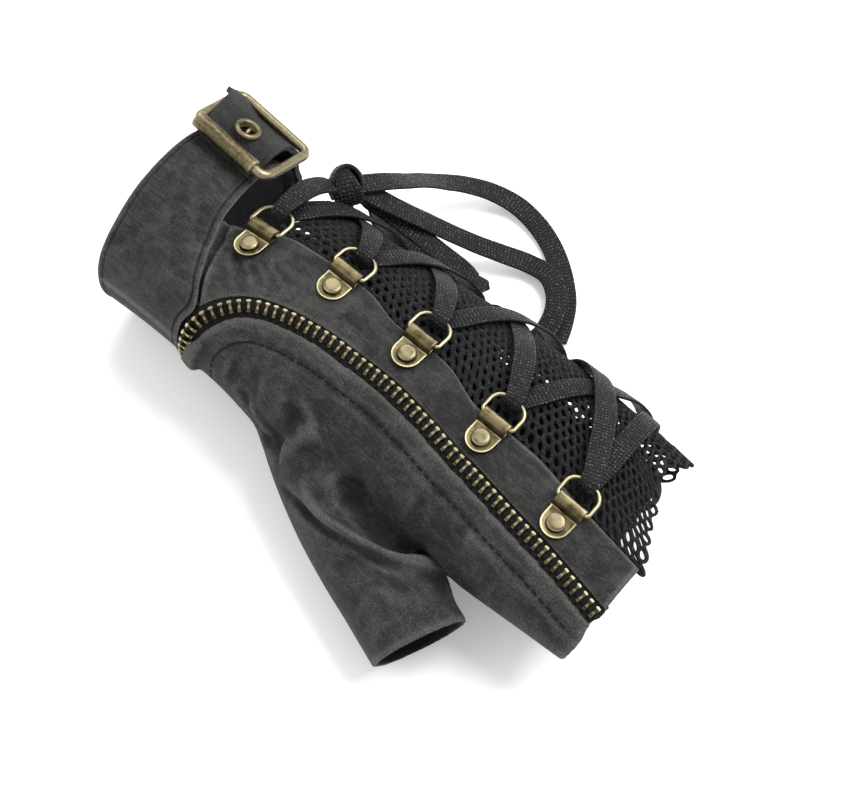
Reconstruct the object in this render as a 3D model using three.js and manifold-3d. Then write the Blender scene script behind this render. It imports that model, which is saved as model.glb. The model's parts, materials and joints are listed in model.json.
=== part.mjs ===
// Fingerless left-hand glove lying palm down: leather cuff, palm and side panel, a net back
// laced through brass ring plates, a zipper chain as trim, and a buckled wrist strap.
// Millimetres, +Z up, +X from the wrist to the fingers, +Y to the little-finger side.
import * as THREE from 'three';
import { mergeVertices } from 'three/addons/utils/BufferGeometryUtils.js';
import Module from 'manifold-3d';

const wasm = await Module();
wasm.setup();

// Driving dimensions
const WALL = 1.6;                 // leather
const NET_WALL = 1.2;
const GAP = 0.3;                  // kept between pieces that touch
const SEAM_GAP = 0.6;            // between pieces sewn edge to edge, whose edges are in short straights
const LACE_WIDTH = 6.2;
const LACE_THICK = 1.0;
const ZIP_PITCH = 2.5;
const TOOTH = { across: 3.0, along: 1.3, high: 1.7 };
const PLATE = { radius: 4.2, thick: 0.8, barAt: 6.2, barUp: 1.6, barrel: 1.35, bore: 1.0,
  seat: 0.4 };
const RIVET = { radius: 2.6, high: 1.1 };
const RING = { halfWidth: 5.2, depth: 7.0, corner: 3.3, heel: 0.9, wire: 0.75 };
const RING_LIFT = 2.7;            // ring wire above the glove, at the far limb
const BUCKLE = { long: 25.6, wide: 19.6, corner: 2.6, wire: 1.3, roller: 1.7, rollerLong: 19.5 };
const BUCKLE_TILT = 25;           // degrees, the frame leans to the little-finger side
const BUCKLE_TURN = -6;           // degrees, its finger end turned to the thumb side
const STRAP_WIDTH = 19;
const STRAP_ARCH = [[-11.2, -3.7], [-9.4, -3.4], [-7.2, -2.7], [-5.0, -1.3], [-2.8, -0.3], [-0.4, 0.1],
  [2.2, -0.2], [4.8, -1.2], [7.2, -2.9], [9.8, -4.4]];
const EYELET = { long: -0.8, across: -1.7, base: 1.15, outer: 3.5, inner: 2.0, neck: 2.3, hole: 2.6 };
const SLOT = { from: 5.4, to: 11, width: 2.4 };
const WEB_WIDTH = 2.4;
const DEG_MM = 0.58;              // about one degree round the hand, for directions along it
const DIP = { start: 27, end: 45, depth: 6, deg: 94, spread: 26 };
const CENTRE = { x: 86.9, y: -7.3 }; // hand frame to the middle of the finished part

// Sections of the hand form along X: the middle, the half width to the thumb side and to the
// little-finger side, the half height up and down, and the squareness of the outline.
const SECTIONS = [
  // x, midY, midZ, thumbHalf, littleHalf, upHalf, downHalf, power
  [-6, 0.5, 27, 28.5, 28.5, 25.5, 28, 2.1],
  [22, 2.5, 25, 29.0, 29.0, 23.5, 26, 2.1],
  [45, 3.0, 23, 30.0, 30.0, 19.5, 24, 2.1],
  [70, 3.5, 21, 33.5, 32.5, 20.5, 22, 2.1],
  [95, 5.0, 20, 35.5, 33.5, 20.5, 21, 2.2],
  [120, 5.0, 21, 34.5, 34.0, 18.5, 18, 2.3],
  [145, 4.5, 22, 33.5, 33.5, 15.5, 14, 2.3],
  [178, 4.5, 20, 31.5, 31.5, 11.0, 9, 2.3],
];

// Edges and seams, as places [x, degrees]. Degrees run round the hand: 0 the thumb side,
// 90 the back of the hand, 180 the little-finger side and 270 or -90 the palm.
const RIM = [[4, 0], [4, 40], [3, 75], [2, 115], [2, 180], [3, 270], [4, 360]];
const CUFF_SEAM = [[32.8, 0], [33.3, 20], [35, 36], [32, 53], [29, 70], [26, 88], [24, 114], [22, 150],
  [22, 185], [27, 225], [32, 290], [33, 360]];
const ZIPPER = [[35.6, -9], [36, 2], [36.3, 18], [38, 34], [43, 53], [50, 64], [61, 71], [74, 74],
  [88, 74], [103, 72], [118, 68], [134, 64], [150, 60], [164, 55], [171, 52]];
const NET_EDGE = [[26.6, 90], [31.5, 95.5], [36.5, 100.5], [44, 103.5], [54, 105], [68, 104], [80, 98],
  [97, 96], [112, 90], [132, 90], [150, 87], [171, 84]];
const NET_FAR_EDGE = [[34, 211], [60, 211], [90, 212], [120, 213], [145, 214], [154, 214]];
const NET_FINGER_EDGE = [[171, 84], [165, 98], [161, 112], [156.5, 123], [156.5, 138], [159, 152],
  [160, 168], [157, 190], [154, 214]];
const PALM_FAR_EDGE = [[34, -98], [60, -98], [90, -98], [120, -98], [156, -98]];
const PALM_START = [[31, -98], [33.4, -60], [35.6, -32], [38.6, -12], [39.4, -4]];
const PALM_FINGER_EDGE = [[156, -98], [162, -60], [167.5, -25], [170, 0], [171.5, 30], [171, 50]];

// Soft folds of the palm leather: from one place to another, how wide and how high.
const FOLDS = [
  // x1, deg1, x2, deg2, width, height
  [52, 12, 66, -12, 4.0, -1.6],
  [60, 20, 76, -4, 4.0, 1.5],
  [66, 34, 88, 8, 5.0, -1.6],
  [80, 36, 112, 16, 5.0, 1.2],
  [96, 22, 124, 2, 4.5, -1.4],
];

// Thumb sleeve: middle of each ring, its half width and half height
const THUMB = [
  // x, y, z, halfWidth, halfHeight
  [56, -6, 16, 15.0, 12.0],
  [70, -13.5, 15.5, 16.5, 14.0],
  [84, -21.5, 14.5, 16.5, 14.5],
  [98, -29, 13.5, 16.0, 13.8],
  [112, -35.5, 12.6, 15.0, 12.9],
  [124, -40.5, 12.2, 14.0, 12.4],
  [137, -45.5, 12.0, 13.6, 12.3],
];
const THUMB_SIDES = 16;

// Lace plates: rivets of the two rows
const NEAR_PLATES = [[35.2, 85], [60.2, 93.5], [88.1, 89], [118.6, 81.5], [148, 74.4]];
const FAR_PLATES = [[36, 225], [58, 224], [83, 224], [111, 226], [142, 229]];

// Bands between the fingers, from the back's edge down to the palm's edge
const WEBS = [
  // y, topX, bottomX, topZ, bottomZ
  [-14.0, 172.2, 168.5, 30.2, 10.5],
  [1.0, 171.6, 162.8, 31.6, 10.5],
  [24.0, 158.4, 156.8, 32.5, 12.0],
];

// Bow: the knot and the routes of its loose ends and loop, hand chosen, flat lace
const KNOT = { x: 37.2, deg: 157, lift: 5.2, radius: 3.9 };
const TAIL_LONG = [
  [40.7, 39.8, 34.1], [43.2, 45.4, 31.5], [45.0, 51.5, 26.8], [46.0, 58.0, 20.8], [47.6, 64.2, 14.8],
  [51.0, 70.8, 9.4], [56.4, 76.2, 5.0], [63.6, 78.9, 2.3], [71.0, 78.4, 1.3], [77.8, 76.2, 1.0],
  [84.0, 72.8, 1.0], [89.6, 68.6, 1.0], [94.4, 63.8, 1.0], [98.0, 58.0, 1.0], [100.4, 52.6, 1.0],
];
const TAIL_SHORT = [
  [42.0, 39.1, 32.0], [46.6, 41.4, 29.4], [51.0, 44.6, 25.4], [55.4, 48.4, 20.6], [60.4, 52.6, 15.4],
  [66.0, 57.4, 9.8], [72.2, 62.2, 5.4], [79.0, 65.8, 3.2], [85.6, 66.6, 3.0], [91.2, 63.4, 3.0],
  [95.0, 58.0, 2.9], [96.6, 51.6, 2.4], [95.6, 45.6, 1.5],
];
const LOOP = [
  [41.4, 39.2, 28.4], [45.4, 41.2, 25.6], [50.4, 42.8, 22.8], [56.0, 44.4, 19.4], [62.0, 46.0, 15.6],
  [67.6, 48.0, 11.4], [72.0, 49.6, 7.2], [73.6, 51.0, 3.4], [70.4, 51.4, 1.1], [63.6, 50.8, 1.0],
  [56.0, 49.6, 1.0], [49.0, 47.4, 3.2], [43.6, 44.8, 9.0], [40.2, 43.0, 16.4], [39.0, 41.4, 22.8],
];

// Colours of the materials
const FINISH = {
  leather: { color: 0x454443, roughness: 0.75, metalness: 0 },
  net: { color: 0x161617, roughness: 0.85, metalness: 0 },
  lace: { color: 0x262626, roughness: 0.6, metalness: 0 },
  tape: { color: 0x18181a, roughness: 0.9, metalness: 0 },
  brass: { color: 0x9c8a5a, roughness: 0.4, metalness: 1 },
};

// Kinds of surface: the cuff band, the plain glove, and the creased palm
const BAND = 0;
const PLAIN = 1;
const CREASED = 2;

const radians = THREE.MathUtils.degToRad;
const vector = (x, y, z) => new THREE.Vector3(x, y, z);

// Smooth curve through a table that never overshoots its rows: gives every column at a value.
function smoothTable(keys, rows) {
  const steps = keys.slice(1).map((key, i) => key - keys[i]);
  const slopes = steps.map((step, i) => rows[i + 1].map((value, c) => (value - rows[i][c]) / step));
  const tangents = rows.map((row, i) => row.map((_, c) => {
    if (i === 0) return slopes[0][c];
    if (i === rows.length - 1) return slopes[i - 1][c];
    const before = slopes[i - 1][c];
    const after = slopes[i][c];
    return before * after <= 0 ? 0 : 2 * before * after / (before + after);
  }));
  return (value) => {
    let i = 0;
    while (i < steps.length - 1 && value > keys[i + 1]) i += 1;
    const t = (value - keys[i]) / steps[i];
    const rise = t * t * (3 - 2 * t);
    const leave = t * (1 - t) * (1 - t) * steps[i];
    const arrive = t * t * (t - 1) * steps[i];
    return rows[i].map((start, c) => start + (rows[i + 1][c] - start) * rise
      + tangents[i][c] * leave + tangents[i + 1][c] * arrive);
  };
}

const sectionAt = smoothTable(SECTIONS.map((row) => row[0]), SECTIONS.map((row) => row.slice(1)));
const bend = (value, power) => Math.sign(value) * Math.abs(value) ** (2 / power);

// Depth to which the glove sinks behind the cuff, at the notch where the lacing begins
function dipDepth(x, deg) {
  const t = THREE.MathUtils.clamp((DIP.end - x) / (DIP.end - DIP.start), 0, 1);
  return DIP.depth * t * t * (3 - 2 * t) * Math.exp(-(((deg - DIP.deg) / DIP.spread) ** 2));
}

// Height of the folds at a place: soft ridges and valleys along short lines
function foldHeight(x, deg) {
  return FOLDS.reduce((sum, [x1, deg1, x2, deg2, width, height]) => {
    const run = [x2 - x1, (deg2 - deg1) * DEG_MM];
    const from = [x - x1, (deg - deg1) * DEG_MM];
    const length2 = run[0] ** 2 + run[1] ** 2;
    const t = THREE.MathUtils.clamp((from[0] * run[0] + from[1] * run[1]) / length2, 0, 1);
    const away2 = (from[0] - t * run[0]) ** 2 + (from[1] - t * run[1]) ** 2;
    return sum + height * Math.exp(-away2 / width ** 2);
  }, 0);
}

// Point of the glove at a place, lifted off its outer face; the underside is flat on the ground.
function skin(x, deg, lift = 0, surface = PLAIN) {
  const [midY, midZ, thumbHalf, littleHalf, upHalf, downHalf, power] = sectionAt(x);
  const side = Math.cos(radians(deg));
  const up = Math.sin(radians(deg));
  const sunk = surface === BAND ? 0 : dipDepth(x, deg);
  const raised = surface === CREASED ? foldHeight(x, deg) : 0;
  const out = lift - sunk + raised;
  const y = midY - (out + (side > 0 ? thumbHalf : littleHalf)) * bend(side, power);
  const z = midZ + (out + (up > 0 ? upHalf : downHalf)) * bend(up, power);
  return vector(x, y, Math.max(z, -Math.min(lift, 0)));
}

// Directions at a place: along the hand, round it, and out of it
function frameAt(x, deg, lift = 0) {
  const origin = skin(x, deg, lift);
  const around = skin(x, deg + 1, lift).sub(skin(x, deg - 1, lift)).normalize();
  const along = skin(x + 1, deg, lift).sub(skin(x - 1, deg, lift)).normalize();
  const normal = along.clone().cross(around).negate().normalize();
  if (normal.dot(origin.clone().sub(vector(x, sectionAt(x)[0], sectionAt(x)[1]))) < 0) normal.negate();
  return { origin, around, along, normal };
}

// Path over the glove through places, read by the share of its length
function path(places) {
  const lengths = [0];
  for (let i = 1; i < places.length; i += 1) {
    lengths.push(lengths[i - 1] + skin(...places[i]).distanceTo(skin(...places[i - 1])));
  }
  const total = lengths[lengths.length - 1];
  const at = smoothTable(lengths, places);
  const reader = (share) => at(share * total);
  reader.total = total;
  return reader;
}

// The same path moved sideways by a length: plus is to its left, seen with x right, degrees up
function beside(base, offset) {
  const step = 0.002;
  return (share) => {
    const [x, deg] = base(share);
    const [x1, deg1] = base(Math.max(share - step, 0));
    const [x2, deg2] = base(Math.min(share + step, 1));
    const degree = skin(x, deg + 1).distanceTo(skin(x, deg - 1)) / 2;
    const run = [x2 - x1, (deg2 - deg1) * degree];
    const length = Math.hypot(...run);
    return [x - run[1] / length * offset, deg + run[0] / length * offset / degree];
  };
}

// Share of a path's length at which it first reaches a degree
function shareAtDegree(base, deg) {
  let share = 0;
  while (base(share)[1] < deg) share += 0.002;
  return share;
}

const part = (base, from, to) => (share) => base(from + (to - from) * share);
const mix = (a, b, t) => a.map((value, i) => value + (b[i] - value) * t);

// Geometry from corner points and faces, turned so that its faces point out
function closedGeometry(points, faces) {
  const volume = faces.reduce((sum, [a, b, c]) => (
    sum + points[a].dot(points[b].clone().cross(points[c]))), 0);
  const geometry = new THREE.BufferGeometry();
  const positions = points.flatMap((point) => [point.x, point.y, point.z]);
  geometry.setAttribute('position', new THREE.Float32BufferAttribute(positions, 3));
  geometry.setIndex(volume < 0 ? faces.flatMap(([a, b, c]) => [a, c, b]) : faces.flat());
  geometry.computeVertexNormals();
  return geometry;
}

// Closed wall between two equal grids of points; `round` joins the last row to the first
function wallGeometry(outer, inner, round = false) {
  const rows = outer.length;
  const columns = outer[0].length;
  const points = [...outer.flat(), ...inner.flat()];
  const faces = [];
  const quad = (a, b, c, d) => faces.push([a, b, c], [a, c, d]);
  const at = (layer, i, j) => layer * rows * columns + (i % rows) * columns + j;
  const spans = round ? rows : rows - 1;
  for (let i = 0; i < spans; i += 1) {
    for (let j = 0; j < columns - 1; j += 1) {
      quad(at(0, i, j), at(0, i + 1, j), at(0, i + 1, j + 1), at(0, i, j + 1));
      quad(at(1, i, j), at(1, i, j + 1), at(1, i + 1, j + 1), at(1, i + 1, j));
    }
    quad(at(0, i, 0), at(1, i, 0), at(1, i + 1, 0), at(0, i + 1, 0));
    const j = columns - 1;
    quad(at(0, i, j), at(0, i + 1, j), at(1, i + 1, j), at(1, i, j));
  }
  if (!round) {
    for (let j = 0; j < columns - 1; j += 1) {
      quad(at(0, 0, j), at(0, 0, j + 1), at(1, 0, j + 1), at(1, 0, j));
      const i = rows - 1;
      quad(at(0, i, j), at(1, i, j), at(1, i, j + 1), at(0, i, j + 1));
    }
  }
  return closedGeometry(points, faces);
}

// Closed bar swept along frames with a section of [side, up] corners; `loop` joins its ends
function sweep(frames, section, loop = false) {
  const points = frames.flatMap(({ origin, side, up, scale = 1 }) => section.map(([a, b]) => (
    origin.clone().addScaledVector(side, a * scale).addScaledVector(up, b))));
  const sides = section.length;
  const faces = [];
  const spans = loop ? frames.length : frames.length - 1;
  for (let i = 0; i < spans; i += 1) {
    for (let j = 0; j < sides; j += 1) {
      const a = i * sides + j;
      const b = i * sides + (j + 1) % sides;
      const c = ((i + 1) % frames.length) * sides + (j + 1) % sides;
      const d = ((i + 1) % frames.length) * sides + j;
      faces.push([a, b, c], [a, c, d]);
    }
  }
  if (!loop) {
    const last = (frames.length - 1) * sides;
    for (let j = 1; j < sides - 1; j += 1) {
      faces.push([0, j + 1, j], [last, last + j, last + j + 1]);
    }
  }
  return closedGeometry(points, faces);
}

const polygon = (sides, radius, turn = 0) => Array.from({ length: sides }, (_, i) => {
  const angle = 2 * Math.PI * (i + turn) / sides;
  return [radius * Math.cos(angle), radius * Math.sin(angle)];
});
const rectangle = (width, thick) => [[-width / 2, -thick / 2], [width / 2, -thick / 2],
  [width / 2, thick / 2], [-width / 2, thick / 2]];

// Solids for joining and cutting
function toSolid(geometry) {
  const bare = geometry.clone();
  bare.deleteAttribute('normal');
  bare.deleteAttribute('uv');
  const merged = mergeVertices(bare, 1e-4);
  return new wasm.Manifold(new wasm.Mesh({
    numProp: 3,
    vertProperties: new Float32Array(merged.attributes.position.array),
    triVerts: new Uint32Array(merged.index.array),
  }));
}

function toGeometry(solid) {
  const pieces = solid.decompose().sort((a, b) => b.volume() - a.volume());
  const mesh = pieces[0].getMesh();
  const geometry = new THREE.BufferGeometry();
  geometry.setAttribute('position', new THREE.Float32BufferAttribute(mesh.vertProperties, 3));
  geometry.setIndex(Array.from(mesh.triVerts));
  geometry.computeVertexNormals();
  return geometry;
}

const group = new THREE.Group();
group.position.set(-CENTRE.x, -CENTRE.y, 0);

function addPiece(name, geometry, finish) {
  const mesh = new THREE.Mesh(geometry, new THREE.MeshStandardMaterial(FINISH[finish]));
  mesh.name = name;
  group.add(mesh);
}

// Wall of the glove between lanes: each lane is a path with its lift and the columns before it.
// Where the first or last row follows an edge of its own, `start` or `finish` gives its x by degree.
function lanesWall(lanes, rows, thick, { start, finish, surface = PLAIN, round = false, low = 0 } = {}) {
  const spread = [0];
  lanes.forEach((lane, k) => {
    for (let c = 1; k > 0 && c <= lane.columns; c += 1) spread.push(k - 1 + c / lane.columns);
  });
  const place = (u, value) => {
    const k = Math.min(Math.floor(value), lanes.length - 2);
    const at = (share) => mix(lanes[k].path(share), lanes[k + 1].path(share), value - k);
    const [x, deg] = at(u);
    const [x0, deg0] = at(0);
    const [x1, deg1] = at(1);
    const startShift = start ? (start(deg0) - x0) * (1 - u) ** 3 : 0;
    const finishShift = finish ? (finish(deg1) - x1) * u ** 3 : 0;
    return [x + startShift + finishShift, deg];
  };
  const liftAt = (value) => {
    const k = Math.min(Math.floor(value), lanes.length - 2);
    return THREE.MathUtils.lerp(lanes[k].lift, lanes[k + 1].lift, value - k);
  };
  const grid = (base, raised) => Array.from({ length: round ? rows : rows + 1 }, (_, i) => (
    spread.map((value) => skin(...place(i / rows, value), base + (raised ? liftAt(value) : 0), surface))));
  return wallGeometry(grid(low, true), grid(low - thick, false), round);
}

// Reader of an edge's x by degree, moved along X by a gap
function edgeByDegree(places, gap) {
  const at = smoothTable(places.map(([, deg]) => deg), places.map(([x]) => [x]));
  return (deg) => at(deg)[0] + gap;
}

const seamOver = edgeByDegree(CUFF_SEAM, SEAM_GAP);

const flatLane = (lanePath, columns) => ({ path: lanePath, lift: 0, columns });

// Cuff band round the wrist
function makeCuff() {
  const lanes = [flatLane(path(RIM), 0), flatLane(path(CUFF_SEAM), 3)];
  addPiece('cuff', lanesWall(lanes, 32, WALL, { round: true, surface: BAND }), 'leather');
}

const zipper = path(ZIPPER);
const PANEL_FROM = 35;            // degree at which the zipper leaves the cuff's seam
const HEM = { edge: -2.9, band: 6.6, step: 0.9, lift: 0.7 };

// Leather between the zipper and the net, up to the middle finger
function makeSidePanel() {
  const zipSide = beside(part(zipper, shareAtDegree(zipper, PANEL_FROM), 1), 2.4);
  const netEdge = path(NET_EDGE);
  const lanes = [flatLane(zipSide, 0), flatLane(netEdge, 4)];
  addPiece('side_panel', lanesWall(lanes, 18, WALL, { start: seamOver }), 'leather');
}

// Plain leather on the little-finger side, under the second row of plates
function makeFarPanel() {
  const low = beside(path(PALM_FAR_EDGE.map(([x, deg]) => [x, deg + 360])), -SEAM_GAP);
  const high = beside(path(NET_FAR_EDGE), SEAM_GAP);
  const lanes = [flatLane(low, 0), flatLane(high, 2)];
  addPiece('far_panel', lanesWall(lanes, 10, WALL, { start: seamOver }), 'leather');
}

// Rings of the thumb sleeve, grown outwards by an offset
function thumbRings(offset) {
  return THUMB.map(([x, y, z, halfWidth, halfHeight], i) => {
    const before = THUMB[Math.max(i - 1, 0)];
    const after = THUMB[Math.min(i + 1, THUMB.length - 1)];
    const run = vector(after[0] - before[0], after[1] - before[1], after[2] - before[2]).normalize();
    const side = vector(run.y, -run.x, 0).normalize();
    const up = side.clone().cross(run).normalize();
    if (up.z < 0) up.negate();
    return polygon(THUMB_SIDES, 1).map(([a, b]) => {
      const point = vector(x, y, z).addScaledVector(side, a * (halfWidth + offset))
        .addScaledVector(up, b * (halfHeight + offset));
      point.z = Math.max(point.z, -Math.min(offset, 0));
      return point;
    });
  });
}

// Solid of stacked rings of points, its ends closed
function ringsGeometry(rings) {
  const sides = rings[0].length;
  const points = rings.flat();
  const faces = [];
  for (let i = 0; i < rings.length - 1; i += 1) {
    for (let j = 0; j < sides; j += 1) {
      const a = i * sides + j;
      const b = i * sides + (j + 1) % sides;
      faces.push([a, b, b + sides], [a, b + sides, a + sides]);
    }
  }
  const last = (rings.length - 1) * sides;
  for (let j = 1; j < sides - 1; j += 1) {
    faces.push([0, j + 1, j], [last, last + j, last + j + 1]);
  }
  return closedGeometry(points, faces);
}

// Ring pushed on along the thumb, to run a cutting solid past the opening
function pushed(rings, distance) {
  const [a, b] = THUMB.slice(-2);
  const run = vector(b[0] - a[0], b[1] - a[1], b[2] - a[2]).normalize();
  return [...rings, rings[rings.length - 1].map((point) => point.clone().addScaledVector(run, distance))];
}

// Palm, wrapped round the thumb side up to the zipper, and the open thumb sleeve on it
function makePalmAndThumb() {
  const edge = beside(zipper, HEM.edge);
  const lanes = [
    { path: edge, lift: HEM.lift, columns: 0 },
    { path: beside(zipper, HEM.edge - HEM.band), lift: HEM.lift, columns: 1 },
    { path: beside(zipper, HEM.edge - HEM.band - HEM.step), lift: 0, columns: 1 },
    flatLane(path(PALM_FAR_EDGE), 12),
  ];
  const start = edgeByDegree(PALM_START, 0);
  const finish = edgeByDegree(PALM_FINGER_EDGE, 0);
  const palm = toSolid(lanesWall(lanes, 18, WALL, { start, finish, surface: CREASED }));
  const bodyRings = Array.from({ length: 22 }, (_, i) => {
    const x = 30 + i * 7;
    return Array.from({ length: 36 }, (_ignored, j) => skin(x, j * 10, 2 * GAP, CREASED));
  });
  const body = toSolid(ringsGeometry(bodyRings));
  const hollow = toSolid(ringsGeometry(pushed(thumbRings(-WALL), 4)));
  const sleeve = toSolid(ringsGeometry(thumbRings(0))).subtract(hollow).subtract(body);
  addPiece('palm', toGeometry(palm.subtract(hollow)), 'leather');
  addPiece('thumb_sleeve', toGeometry(sleeve), 'leather');
}

// Net back: a wall cut through by rows of diamond gaps
function makeNet() {
  const cells = { along: 14, across: 8, open: 0.36 };
  const near = beside(part(path(NET_EDGE), 0.085, 1), SEAM_GAP);
  const far = path(NET_FAR_EDGE);
  const fingers = path(NET_FINGER_EDGE);
  const place = (u, v) => {
    const base = mix(near(u), far(u), v);
    const end = mix(near(1), far(1), v);
    return base.map((value, i) => value + (fingers(v)[i] - end[i]) * u ** 3);
  };
  const points = [];
  const number = new Map();
  const point = (layer, i, j) => {
    const key = `${layer} ${i} ${j}`;
    if (!number.has(key)) {
      number.set(key, points.length);
      points.push(skin(...place(i / cells.along, j / cells.across), layer ? -NET_WALL : 0));
    }
    return number.get(key);
  };
  const faces = [];
  const wallQuad = (a, b) => faces.push([point(0, ...a), point(0, ...b), point(1, ...b)],
    [point(0, ...a), point(1, ...b), point(1, ...a)]);
  for (let i = 0; i < cells.along; i += 1) {
    for (let j = 0; j < cells.across; j += 1) {
      const corners = [[i, j], [i + 1, j], [i + 1, j + 1], [i, j + 1]];
      const { open } = cells;
      const gap = [[0, -open], [open, 0], [0, open], [-open, 0]].map(([a, b]) => [i + 0.5 + a, j + 0.5 + b]);
      for (let k = 0; k < 4; k += 1) {
        const next = (k + 1) % 4;
        const frontFaces = [[corners[k], corners[next], gap[k]], [corners[next], gap[next], gap[k]]];
        frontFaces.forEach(([a, b, c]) => {
          faces.push([point(0, ...a), point(0, ...b), point(0, ...c)]);
          faces.push([point(1, ...a), point(1, ...c), point(1, ...b)]);
        });
        wallQuad(gap[k], gap[next]);
      }
    }
  }
  for (let i = 0; i < cells.along; i += 1) {
    wallQuad([i + 1, 0], [i, 0]);
    wallQuad([i, cells.across], [i + 1, cells.across]);
  }
  for (let j = 0; j < cells.across; j += 1) {
    wallQuad([0, j], [0, j + 1]);
    wallQuad([cells.along, j + 1], [cells.along, j]);
  }
  addPiece('mesh_back', closedGeometry(points, faces), 'net');
}

// Zipper tape and one chain of teeth on its cord, along the palm's hem
function makeZipper() {
  const lanes = [flatLane(beside(zipper, HEM.edge + GAP), 0), flatLane(beside(zipper, 2.1), 1)];
  addPiece('zipper_tape', lanesWall(lanes, 26, 0.8, { low: -0.9 }), 'tape');
  const count = Math.round(zipper.total / ZIP_PITCH);
  const points = [];
  const sections = [];
  for (let i = 0; i < count; i += 1) {
    [[-0.5, 1], [0.5, 1], [ZIP_PITCH / TOOTH.along / 2, 0]].forEach(([step, full]) => {
      const [x, deg] = zipper((i + 0.5 + step * TOOTH.along / ZIP_PITCH) / count);
      const { origin, normal } = frameAt(x, deg, -0.2);
      points.push(origin);
      sections.push({ up: normal, half: full ? TOOTH.across / 2 : 0.8, high: full ? TOOTH.high : 0.7 });
    });
  }
  const rows = points.map((point, i) => {
    const before = points[Math.max(i - 1, 0)];
    const after = points[Math.min(i + 1, points.length - 1)];
    const { up, half, high } = sections[i];
    const side = after.clone().sub(before).cross(up).normalize();
    return [[-1, 0], [1, 0], [0.8, 1], [-0.8, 1]].map(([a, b]) => (
      point.clone().addScaledVector(side, a * half).addScaledVector(up, b * high)));
  });
  addPiece('zipper_teeth', ringsGeometry(rows), 'brass');
}

// Short bands between the fingers, from the back edge over to the palm edge
function makeFingerWebs() {
  WEBS.forEach(([y, topX, bottomX, top, bottom], i) => {
    const curve = new THREE.CubicBezierCurve3(vector(topX, y, top), vector(topX + 3, y, top - 4),
      vector(bottomX + 4, y, bottom + 3), vector(bottomX, y, bottom));
    const frames = Array.from({ length: 6 }, (_, k) => {
      const side = vector(0, 1, 0);
      const up = side.clone().cross(curve.getTangent(k / 5)).normalize();
      return { origin: curve.getPoint(k / 5), side, up };
    });
    addPiece(`finger_web_${i + 1}`, sweep(frames, rectangle(WEB_WIDTH, NET_WALL)), 'net');
  });
}

// Lace plates with their rivets and rings. `towards` is +1 where the ring lies at larger degrees.
const rings = { near: [], far: [] };

function makePlate(row, index, [x, deg], towards) {
  const middle = frameAt(x, deg + towards * 3);
  const up = middle.normal;
  const out = middle.around.clone().multiplyScalar(towards);
  const side = out.clone().cross(up).normalize();
  const origin = skin(x, deg);
  // The flat plate sits on the highest place under it
  let lift = 0;
  for (let across = -4.5; across <= 4.5; across += 0.75) {
    for (let turn = -9; turn <= 14; turn += 1) {
      const under = skin(x + across, deg + towards * turn).sub(origin);
      const ahead = under.dot(out);
      const within = ahead > -PLATE.radius && ahead < PLATE.barAt && Math.abs(under.dot(side)) < PLATE.radius;
      if (within) lift = Math.max(lift, under.dot(up));
    }
  }
  origin.addScaledVector(up, lift + PLATE.seat);
  const at = (a, b, c) => origin.clone().addScaledVector(out, a).addScaledVector(side, b)
    .addScaledVector(up, c);
  const name = (piece) => `${piece}_${row}_${index + 1}`;

  const outline = Array.from({ length: 7 }, (_, i) => {
    const turn = Math.PI * (0.5 + i / 6);
    return [PLATE.radius * Math.cos(turn), PLATE.radius * Math.sin(turn)];
  });
  outline.push([PLATE.barAt, -PLATE.radius], [PLATE.barAt, PLATE.radius]);
  const faces = [0, PLATE.thick].map((high) => ({ origin: at(0, 0, high), side: out, up: side }));
  const base = sweep(faces, outline);
  const barrelEnds = [-PLATE.radius, PLATE.radius];
  const barrel = sweep(barrelEnds.map((b) => ({ origin: at(PLATE.barAt, b, PLATE.barUp), side: out, up })),
    polygon(6, PLATE.barrel, 0.5));
  const bore = sweep([-6, 6].map((b) => ({ origin: at(PLATE.barAt, b, PLATE.barUp), side: out, up })),
    polygon(4, PLATE.bore, 0.5));
  const plate = toSolid(base).add(toSolid(barrel)).subtract(toSolid(bore));
  addPiece(name('lace_plate'), toGeometry(plate), 'brass');

  const capRings = [[0, 1], [0.55, 1], [RIVET.high, 0.62]].map(([high, share]) => (
    polygon(8, RIVET.radius * share).map(([a, b]) => at(a, b, PLATE.thick + GAP + high))));
  addPiece(name('rivet'), ringsGeometry(capRings), 'brass');

  const bar = at(PLATE.barAt, 0, PLATE.barUp);
  let limbDeg = deg;
  while (skin(x, limbDeg, RING_LIFT).distanceTo(bar) < RING.depth || Math.abs(limbDeg - deg) < 12) {
    limbDeg += towards * 0.25;
  }
  const limb = skin(x, limbDeg, RING_LIFT);
  const reach = limb.clone().sub(bar).normalize();
  const ringUp = side.clone().cross(reach).normalize();
  if (ringUp.dot(up) < 0) ringUp.negate();
  const corners = [[0, -1, 180], [RING.depth, -1, 270], [RING.depth, 1, 0], [0, 1, 90]];
  const frames = corners.flatMap(([far, hand, start]) => {
    const radius = far ? RING.corner : RING.heel;
    const centre = bar.clone().addScaledVector(reach, far ? far - radius : radius)
      .addScaledVector(side, hand * (RING.halfWidth - radius));
    return (far ? [0, 30, 60, 90] : [0, 90]).map((step) => {
      const turn = radians(start + step);
      const outward = reach.clone().multiplyScalar(Math.cos(turn)).addScaledVector(side, Math.sin(turn));
      return { origin: centre.clone().addScaledVector(outward, radius), side: outward, up: ringUp };
    });
  });
  addPiece(name('lace_ring'), sweep(frames, polygon(4, RING.wire, 0.5), true), 'brass');
  rings[row].push({ x, deg: limbDeg, limb, reach, side, up: ringUp });
}

NEAR_PLATES.forEach((place, i) => makePlate('near', i, place, 1));
FAR_PLATES.forEach((place, i) => makePlate('far', i, place, -1));

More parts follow.
